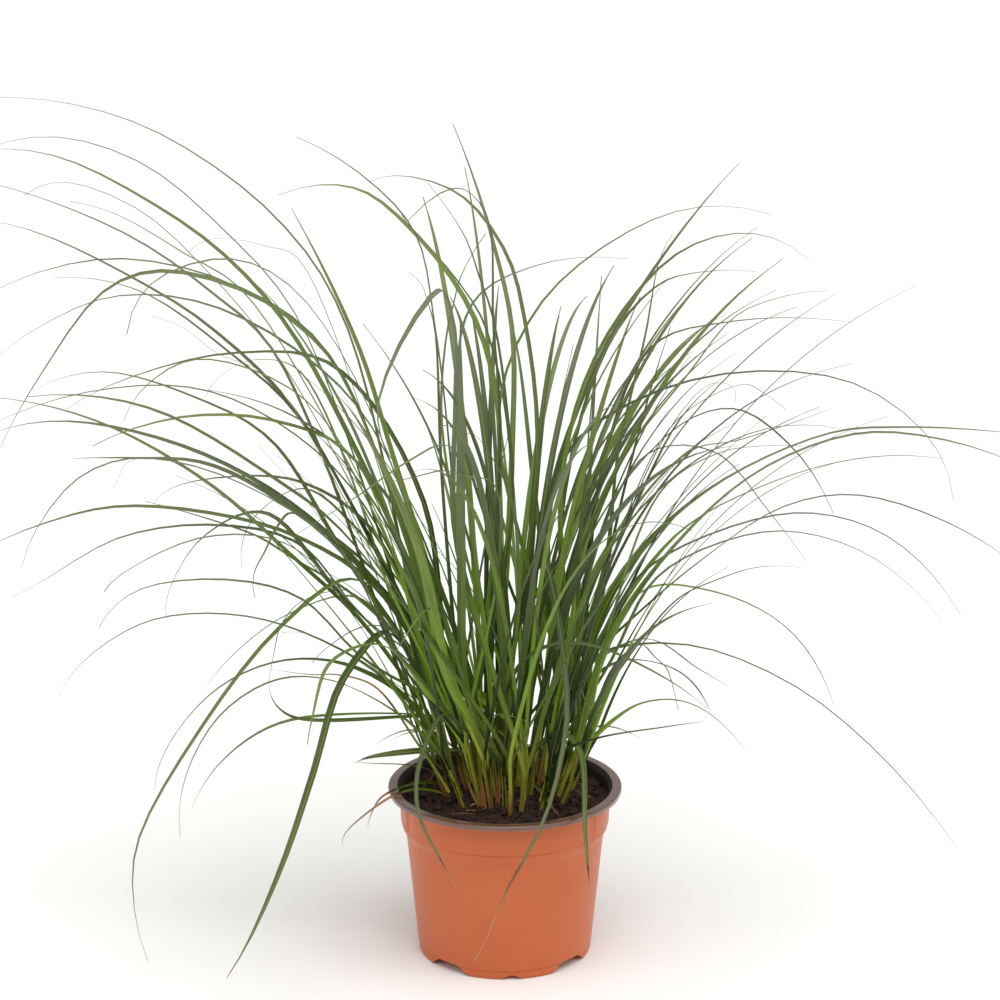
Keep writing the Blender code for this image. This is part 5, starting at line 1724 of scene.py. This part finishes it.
def crumb_blank():
    """A cube with each face cut in four and rounded: the blank for every crumb of peat."""
    blank = add_piece("crumb_blank", bpy.ops.mesh.primitive_cube_add, size=1.0)
    bpy.ops.object.mode_set(mode="EDIT")
    bpy.ops.mesh.select_all(action="SELECT")
    bpy.ops.mesh.subdivide(number_cuts=1)
    bpy.ops.transform.tosphere(value=CRUMB_ROUNDING)
    bpy.ops.object.mode_set(mode="OBJECT")
    return blank


def spread_crumbs(blank, look):
    """Copies of the blank, each with its own lumps, size and place on the peat."""
    rng = random.Random(SEED)
    base = np.array([vert.co[:] for vert in blank.data.vertices])
    crumbs = []
    for _ in range(look.crumbs):
        radius = (COLLAR_RADIUS - CRUMB_MARGIN) * math.sqrt(rng.random())
        angle = rng.uniform(0.0, math.tau)
        x, y = radius * math.cos(angle), radius * math.sin(angle)
        size = look.smallest + (look.largest - look.smallest) * rng.random() ** CRUMB_SIZE_CURVE
        lumps = np.array([[1 + CRUMB_LUMP * rng.uniform(-1.0, 1.0)] for _ in base])
        squash = [rng.uniform(*each) for each in (CRUMB_WIDTH, CRUMB_WIDTH, CRUMB_HEIGHT)]
        turn = rng.uniform(0.0, math.tau)
        cosine, sine = math.cos(turn), math.sin(turn)
        spun = np.array([[cosine, -sine, 0], [sine, cosine, 0], [0, 0, 1]])
        place = np.array([x, y, peat_height(x, y) + CRUMB_RISE * size])
        crumbs.append(copy_of(blank, (base * lumps * squash * size) @ spun.T + place))
    return crumbs


class POTTEDGRASS_OT_peat(bpy.types.Operator):
    """Model the peat with its crumbs"""

    bl_idname = "potted_grass.peat"
    bl_label = "Peat"

    def execute(self, context):
        look = context.scene.potted_grass.soil
        soil = spin_outline("peat", peat_outline(), PEAT_STEPS)
        for vert in soil.data.vertices:
            if vert.co.z > SOIL_Z - GAP:
                vert.co.z = peat_height(vert.co.x, vert.co.y)
        blank = crumb_blank()
        crumbs = spread_crumbs(blank, look)
        remove(blank)
        soil = join("peat", [soil, *crumbs])
        wear(soil, peat(look))
        finish_piece(soil, "soil", PEAT_SMOOTH_ANGLE, "soil")
        return {"FINISHED"}


# ------------------------------------------------------------------------------------- blades


def rod_blank(name, sides, steps):
    """A rod cut across at each step, the blank for blades and sheaths. Returns it with the ring
    and the corner of each of its vertices."""
    blank = add_piece(
        name, bpy.ops.mesh.primitive_cylinder_add, vertices=sides, radius=1.0, depth=steps
    )
    bpy.ops.object.mode_set(mode="EDIT")
    pick(blank, "edges", lambda edge: abs(edge.verts[0].co.z - edge.verts[1].co.z) > 0.5)
    bpy.ops.mesh.subdivide(number_cuts=steps - 1)
    bpy.ops.object.mode_set(mode="OBJECT")
    for name in ("tint", "bloom", "dry_from"):
        blank.data.attributes.new(name, "FLOAT", "POINT")
    places = np.array([vert.co[:] for vert in blank.data.vertices])
    rings = np.round(places[:, 2] + steps / 2).astype(int)
    angles = np.arctan2(places[:, 1], places[:, 0])
    corners = np.round(angles / (math.tau / sides)).astype(int) % sides
    return blank, rings, corners


def blade_across(mesh, corners):
    """The place of each face corner across a blade, from 0 to 2: the upper side, then the under."""
    across = []
    for face in mesh.polygons:
        here = [int(corners[vert]) for vert in face.vertices]
        under = KEEL in here
        across += [2.0 if under and corner == LEFT else corner / 2 for corner in here]
    return np.array(across)


def shape_rod(blank, rails, shares, across, tint, bloom, dry_from):
    """A copy of the blank along the rails, with its UV map and its own tint, bloom and dry tip."""
    rod, rings, corners = blank
    piece = copy_of(rod, rails[rings, corners])
    mesh = piece.data
    loops = np.zeros(len(mesh.loops), dtype=int)
    mesh.loops.foreach_get("vertex_index", loops)
    uv = np.stack([across, shares[rings[loops]]], axis=1)
    mesh.uv_layers["UVMap"].data.foreach_set("uv", uv.ravel().astype(np.float32))
    for name, value in (("tint", tint), ("bloom", bloom), ("dry_from", dry_from)):
        values = np.full(len(mesh.vertices), value, dtype=np.float32)
        mesh.attributes[name].data.foreach_set("value", values)
    return piece


def folded_ring(place, side, over, half, fold, thickness):
    """Left edge, groove, right edge and keel of a leaf folded up along its middle."""
    reach = side * half * math.cos(fold)
    rise = over * half * math.sin(fold)
    thick = over * thickness / 2
    return place - reach + rise, place + thick, place + reach + rise, place - thick


def blade_rails(shoot, leaf, widening, taper, look):
    """Left edge, groove, right edge and keel at each step of a blade, and the steps' shares.

    The blade comes out of the soil beside its sheath, clasps it, and then lies along the leaf.
    """
    aside = leaf.points[0] - (shoot.top - shoot.axis * LEAF_SOCKET)
    foot = shoot.foot + shoot.axis * (SOCKET_DEPTH - BLADE_FOOT_DEPTH) + aside * BLADE_CLASP
    middle = (foot + leaf.points[0]) / 2 + aside * (BLADE_CLASP - 1)
    whole = Leaf([foot, middle, *leaf.points], leaf.width, leaf.face, leaf.roll)
    line, shares = whole.line(BLADE_STEPS)
    in_sheath = whole.reach[-1] - leaf.reach[-1]
    spread, facing = leaf.across()
    inwards = -unit(np.array(aside))
    rails = []
    for place, share, along in zip(line, shares, directions(line)):
        run = share * whole.reach[-1]
        past_sheath = max(0.0, run - in_sheath) / leaf.reach[-1]
        settled = eased(past_sheath / LEAF_SETTLES_BY)
        free = eased(run / look.clasp)
        loose = facing * (1 - settled) + spread * settled
        across = loose * free + np.cross(along, inwards) * (1 - free)
        across = unit(across - along * (across @ along))
        over = np.cross(across, along)
        turn = leaf.roll * settled
        side = across * math.cos(turn) + over * math.sin(turn)
        over = over * math.cos(turn) - across * math.sin(turn)
        half = blade_width(share, past_sheath, leaf.width * widening, taper) / 2
        opening = (1 - eased(share / LEAF_SETTLES_BY)) ** 2
        fold = look.tip_fold + (look.foot_fold - look.tip_fold) * opening
        thickness = min(look.thickness, half) * (1 - BLADE_THINS_BY * share)
        rails.append(folded_ring(place, side, over, half, fold, thickness))
    return np.array(rails), shares


def blade_width(share, past_sheath, widest, taper):
    """A blade's width: a broad foot that clasps the shoot, then the leaf's own width and taper."""
    foot = BLADE_FOOT_WIDTH + BLADE_FOOT_EXTRA * widest
    closing = max(0.0, past_sheath - LEAF_TAPERS_FROM) / (1 - LEAF_TAPERS_FROM)
    opened = foot + (widest - foot) * eased(share / BLADE_OPENS_BY)
    return max(BLADE_TIP_WIDTH, opened * (1 - closing**taper))


def sheath_rails(shoot):
    """Rings of points round the rolled young leaf in the middle of a shoot."""
    foot = np.array(shoot.foot + shoot.axis * (SOCKET_DEPTH - BLADE_FOOT_DEPTH))
    top = np.array(shoot.top)
    axis = unit(top - foot)
    aside = unit(np.cross(axis, [0.0, 1.0, 0.0]))
    ahead = np.cross(axis, aside)
    angles = [k * math.tau / SHEATH_LOOK_SIDES for k in range(SHEATH_LOOK_SIDES)]
    spokes = [aside * math.cos(angle) + ahead * math.sin(angle) for angle in angles]
    rails = []
    for i in range(SHEATH_LOOK_STEPS + 1):
        share = i / SHEATH_LOOK_STEPS
        radius = SHEATH_LOOK_RADIUS[0] + (SHEATH_LOOK_RADIUS[1] - SHEATH_LOOK_RADIUS[0]) * share
        middle = foot + (top - foot) * share
        rails.append([middle + spoke * radius for spoke in spokes])
    return np.array(rails)


def clears_all(leaf):
    """Whether a thin leaf stays within the clump's reach, off the pot and above the floor."""
    line, _ = leaf.line(BLADE_STEPS)
    if line[:, 2].min() < LOWEST_LEAF_Z or line[:, 2].max() > CAD_BOX[1].z:
        return False
    if abs(line[:, 0]).max() > REACH_SIDEWAYS or abs(line[:, 1]).max() > REACH_FORWARD:
        return False
    return all(
        clears_pot(a + (b - a) * share)
        for a, b in zip(line[2:], line[3:])
        for share in np.linspace(0.0, 1.0, THIN_PATH_CHECKS)
    )


def thin_leaf(row, rng, shoots):
    """A thin leaf read from the front, on one of the shoots that suit it."""
    width, depth, seen = row
    seen = [(x * CM, z * CM) for x, z in seen]
    aside, back = seen[-1][0] / SEEN_SPREAD, depth * CM / SEEN_SPREAD
    aim = Vector((clamped(aside, SEEN_EDGE), clamped(back, SEEN_EDGE), 0.0))
    nearest = sorted(shoots, key=lambda shoot: (shoot.outward - aim).length)
    shoot = nearest[rng.randrange(THIN_SHOOTS_TRIED)]
    tip = behind(*seen[-1], depth * CM)
    heading = math.atan2(tip.y - shoot.foot.y, tip.x - shoot.foot.x)
    face, roll = rng.uniform(-SEEN_FACE, SEEN_FACE), rng.uniform(*SEEN_ROLL)
    return shoot, seen_leaf(shoot, width * MM, seen, depth * CM, heading, face, roll)


def young_leaf(shoot, rng):
    """A thin young leaf that rises from inside a shoot and bends over a little."""
    outward = math.atan2(shoot.outward.y, shoot.outward.x)
    heading = outward + rng.uniform(-YOUNG_TURN, YOUNG_TURN)
    length = rng.uniform(*YOUNG_LENGTH)
    lean = rng.uniform(*YOUNG_LEAN) + YOUNG_LEAN_AT_EDGE * shoot.outward.length
    points = drooping_line(shoot, heading, length, lean, rng.uniform(*YOUNG_DROOP))
    face, roll = rng.uniform(-GROWN_FACE, GROWN_FACE), rng.uniform(-GROWN_ROLL, GROWN_ROLL)
    return Leaf(points, rng.uniform(*YOUNG_WIDTH), face, roll)


@functools.cache
def whole_clump():
    """The shoots of the frame, each with its leaves and then its thin and young ones."""
    shoots = grow_clump()
    leaves = {shoot.name: list(shoot.leaves) for shoot in shoots}
    for number, row in enumerate(THIN_LEAVES):
        shoot, leaf = thin_leaf(row, random.Random(THIN_SEED + number), shoots)
        if clears_all(leaf):
            leaves[shoot.name].append(leaf)
    for index, shoot in enumerate(shoots):
        rng = random.Random(YOUNG_SEED + index)
        wanted = len(leaves[shoot.name]) + bpy.context.scene.potted_grass.grass.young
        for _ in range(GROWN_TRIES):
            leaf = young_leaf(shoot, rng)
            if len(leaves[shoot.name]) < wanted and clears_all(leaf):
                leaves[shoot.name].append(leaf)
    return shoots, leaves


def leaf_tint(rng, painted_shade):
    """A blade's place between the fresh and the deep green: most lie near one or the other. The
    deeper a shoot's painted shade, the fewer of its blades are fresh.
    """
    fresh = rng.random() < FRESH_SHARE - FRESH_LOST_IN_PAINTED_SHADE * painted_shade
    return min(1.0, max(0.0, rng.gauss(FRESH_TINT if fresh else DEEP_TINT, TINT_SPREAD)))


def leaf_bloom(rng, leaf):
    """How waxy a blade is: blades that stand upright inside the clump have less bloom."""
    aside = np.linalg.norm((leaf.curve[-1] - leaf.curve[0])[:2]) / leaf.reach[-1]
    return rng.random() ** BLOOM_CURVE * min(1.0, BLOOM_UPRIGHT + aside)


def dry_start(rng):
    """Where a blade's dry tip starts, as a share of its length: mostly near the very tip."""
    chance = rng.random()
    low, high = next(tip[1:] for tip in DRY_TIPS if chance < tip[0])
    return rng.uniform(low, high)


def own_look(rng, leaf, painted_shade):
    """What a blade shows that doesn't stand out, in the order of the rows of those that do."""
    shown = 1.0 if leaf.seen else rng.uniform(*GROWN_SHOWN)
    tint, bloom, dry_from = leaf_tint(rng, painted_shade), leaf_bloom(rng, leaf), dry_start(rng)
    return shown, BLADE_TAPER_CURVE, tint, bloom, dry_from


class POTTEDGRASS_OT_shoots(bpy.types.Operator):
    """Model the shoots of grass with their blades"""

    bl_idname = "potted_grass.shoots"
    bl_label = "Shoots"

    def execute(self, context):
        look = context.scene.potted_grass.grass
        shoots, leaves = whole_clump()
        blade = rod_blank("blade_blank", 4, BLADE_STEPS)
        blade_u = blade_across(blade[0].data, blade[2])
        sheath = rod_blank("sheath_blank", SHEATH_LOOK_SIDES, SHEATH_LOOK_STEPS)
        sheath_u = np.full(len(sheath[0].data.loops), SHEATH_LOOK_ACROSS)
        sheath_v = np.linspace(0.0, SHEATH_LOOK_ALONG, SHEATH_LOOK_STEPS + 1)
        living, _ = leaf_materials()
        for shoot in shoots:
            rng = random.Random(shoot.name)
            # Painted shade: inner shoots lean to the deep green, in their blades and rolled young
            # leaf, partly by chance
            inner = 1 - shoot.outward.length
            painted_shade = PAINTED_SHADE_BY_CHANCE * rng.random() + (1 - PAINTED_SHADE_BY_CHANCE) * inner
            pieces = [shape_rod(sheath, sheath_rails(shoot), sheath_v, sheath_u, painted_shade, 0.0, 1.0)]
            for leaf in leaves[shoot.name]:
                own = own_look(rng, leaf, painted_shade)
                shown, taper, tint, bloom, dry_from = leaf.look or own
                rails, shares = blade_rails(shoot, leaf, shown * BLADE_WIDENING, taper, look)
                pieces.append(shape_rod(blade, rails, shares, blade_u, tint, bloom, dry_from))
            piece = join(shoot.name.replace("shoot", "grass_shoot"), pieces)
            wear(piece, living)
            finish_piece(piece, "leaves", BLADE_SMOOTH_ANGLE, shoot.name)
        remove(blade[0])
        remove(sheath[0])
        return {"FINISHED"}


class POTTEDGRASS_OT_litter(bpy.types.Operator):
    """Model the old, dry leaves and the fibres on the peat"""

    bl_idname = "potted_grass.litter"
    bl_label = "Old leaves and fibres"

    def execute(self, context):
        soil = context.scene.potted_grass.soil
        _, straw = leaf_materials()
        blank = rod_blank("litter_blank", 4, OLD_STEPS)
        across = blade_across(blank[0].data, blank[2])
        old = join("old_leaves", [old_leaf(row, blank, across) for row in OLD_LEAVES])
        finish_piece(old, "leaves", OLD_SMOOTH_ANGLE)
        remove(blank[0])

        rng = random.Random(FIBRE_SEED)
        short = rod_blank("fibre_blank", 4, FIBRE_STEPS)
        across = blade_across(short[0].data, short[2])
        fibres = join("peat_fibres", [fibre(rng, short, across) for _ in range(soil.fibres)])
        wear(fibres, straw)
        finish_piece(fibres, "soil", FIBRE_SMOOTH_ANGLE)
        remove(short[0])
        return {"FINISHED"}


def old_leaf(row, blank, across):
    """An old leaf along the line read from the front, curled up along its middle."""
    width, foot_depth, tip_depth, tint, green_share, seen = row
    depths = np.linspace(foot_depth, tip_depth, len(seen))
    points = [behind(x * CM, z * CM, depth * CM) for (x, z), depth in zip(seen, depths)]
    line, shares = Leaf(points, width * MM, 0.0, 0.0).line(OLD_STEPS)
    rails = []
    for place, share, along in zip(line, shares, directions(line)):
        side = unit(np.cross(along, OLD_FACING))
        over = np.cross(side, along)
        half = max(OLD_TIP_WIDTH, width * MM * (1 - share**OLD_TAPER_CURVE)) / 2
        rails.append(folded_ring(place, side, over, half, OLD_FOLD, OLD_THICKNESS))
    piece = shape_rod(blank, np.array(rails), shares, across, tint, OLD_BLOOM, green_share)
    living, dead = leaf_materials()
    wear(piece, living if green_share > 0 else dead)
    return piece


def fibre(rng, blank, across):
    """A fibre or bit of straw that lies bent on the peat."""
    radius = (COLLAR_RADIUS - FIBRE_MARGIN) * math.sqrt(rng.random())
    angle, heading = rng.uniform(0.0, math.tau), rng.uniform(0.0, math.tau)
    length, bend = rng.uniform(*FIBRE_LENGTH), rng.uniform(*FIBRE_BEND)
    half = rng.uniform(*FIBRE_HALF_WIDTH)
    place = Vector((radius * math.cos(angle), radius * math.sin(angle), 0.0))
    shares = np.linspace(0.0, 1.0, FIBRE_STEPS + 1)
    rails = []
    for share in shares:
        ahead = level(heading + bend * share)
        onward = place + ahead * length / FIBRE_STEPS
        inside = math.hypot(onward.x, onward.y) < COLLAR_RADIUS - FIBRE_WALL_GAP
        place = onward if inside else place * FIBRE_TURN_BACK
        wave = FIBRE_WAVE * abs(noise.noise(place / FIBRE_WAVE_SIZE))
        middle = np.array((place.x, place.y, peat_height(place.x, place.y) + FIBRE_LIFT + wave))
        aside = np.array((-ahead.y, ahead.x, 0.0)) * half
        up = np.array((0.0, 0.0, half * FIBRE_FLATNESS))
        rails.append((middle - aside, middle + up, middle + aside, middle - up))
    tint = rng.uniform(*FIBRE_TINT)
    return shape_rod(blank, np.array(rails), shares, across, tint, 0.0, 1.0)


# -------------------------------------------------------------------------------------- stage


def place_on_stage(name, data, place):
    """Adds a light or the camera at its place, turned towards the plant."""
    thing = bpy.data.objects.new(name, data)
    bpy.context.collection.objects.link(thing)
    thing.location = place
    thing.rotation_euler = (CAMERA_TARGET - Vector(place)).to_track_quat("-Z", "Y").to_euler()
    return thing


class POTTEDGRASS_OT_stage(bpy.types.Operator):
    """Set up the pale floor, the soft lights and the camera"""

    bl_idname = "potted_grass.stage"
    bl_label = "Stage"

    def execute(self, context):
        look = context.scene.potted_grass.stage
        floor = add_piece("floor", bpy.ops.mesh.primitive_plane_add, size=FLOOR_SIZE)
        floor.data.materials.append(floor_paper(look.floor))

        overhead = bpy.data.lights.new("overhead_light", "SUN")
        overhead.angle = OVERHEAD_SPREAD
        overhead.energy = look.overhead
        place_on_stage(overhead.name, overhead, (0.0, 0.0, 0.0)).rotation_euler = OVERHEAD_TURN
        for name, place in SOFTBOXES.items():
            softbox = bpy.data.lights.new(name, "AREA")
            softbox.shape = "SQUARE"
            softbox.size = SOFTBOX_SIZE
            softbox.energy = look.sides
            place_on_stage(name, softbox, place)

        world = bpy.data.worlds.new("white_room")
        context.scene.world = world
        world.use_nodes = True
        background = world.node_tree.nodes["Background"]
        background.inputs["Color"].default_value = (1.0, 1.0, 1.0, 1.0)
        background.inputs["Strength"].default_value = look.sky

        camera = bpy.data.cameras.new("camera")
        camera.lens = look.lens
        context.scene.camera = place_on_stage("camera", camera, EYE)
        context.scene.view_settings.view_transform = "Standard"
        return {"FINISHED"}


# -------------------------------------------------------------------------------------- panel

OPERATORS = (
    POTTEDGRASS_OT_stage,
    POTTEDGRASS_OT_pot,
    POTTEDGRASS_OT_peat,
    POTTEDGRASS_OT_shoots,
    POTTEDGRASS_OT_litter,
)


class POTTEDGRASS_PT_panel(bpy.types.Panel):
    """The operators and settings of the potted grass"""

    bl_idname = "POTTEDGRASS_PT_panel"
    bl_label = "Potted grass"
    bl_space_type = "VIEW_3D"
    bl_region_type = "UI"
    bl_category = "Grass"

    def draw(self, context):
        settings = context.scene.potted_grass
        for operator in OPERATORS:
            self.layout.operator(operator.bl_idname)
        for group in (settings.pot, settings.soil, settings.grass, settings.stage):
            box = self.layout.box()
            for name in group.__annotations__:
                box.prop(group, name)


CLASSES = (
    PotSettings,
    SoilSettings,
    GrassSettings,
    StageSettings,
    PottedGrassSettings,
    *OPERATORS,
    POTTEDGRASS_PT_panel,
)


def register():
    for cls in CLASSES:
        bpy.utils.register_class(cls)
    bpy.types.Scene.potted_grass = PointerProperty(type=PottedGrassSettings)


def unregister():
    del bpy.types.Scene.potted_grass
    for cls in reversed(CLASSES):
        bpy.utils.unregister_class(cls)


def main():
    register()
    for operator in OPERATORS:
        group, name = operator.bl_idname.split(".")
        getattr(getattr(bpy.ops, group), name)()


if __name__ == "__main__":
    main()
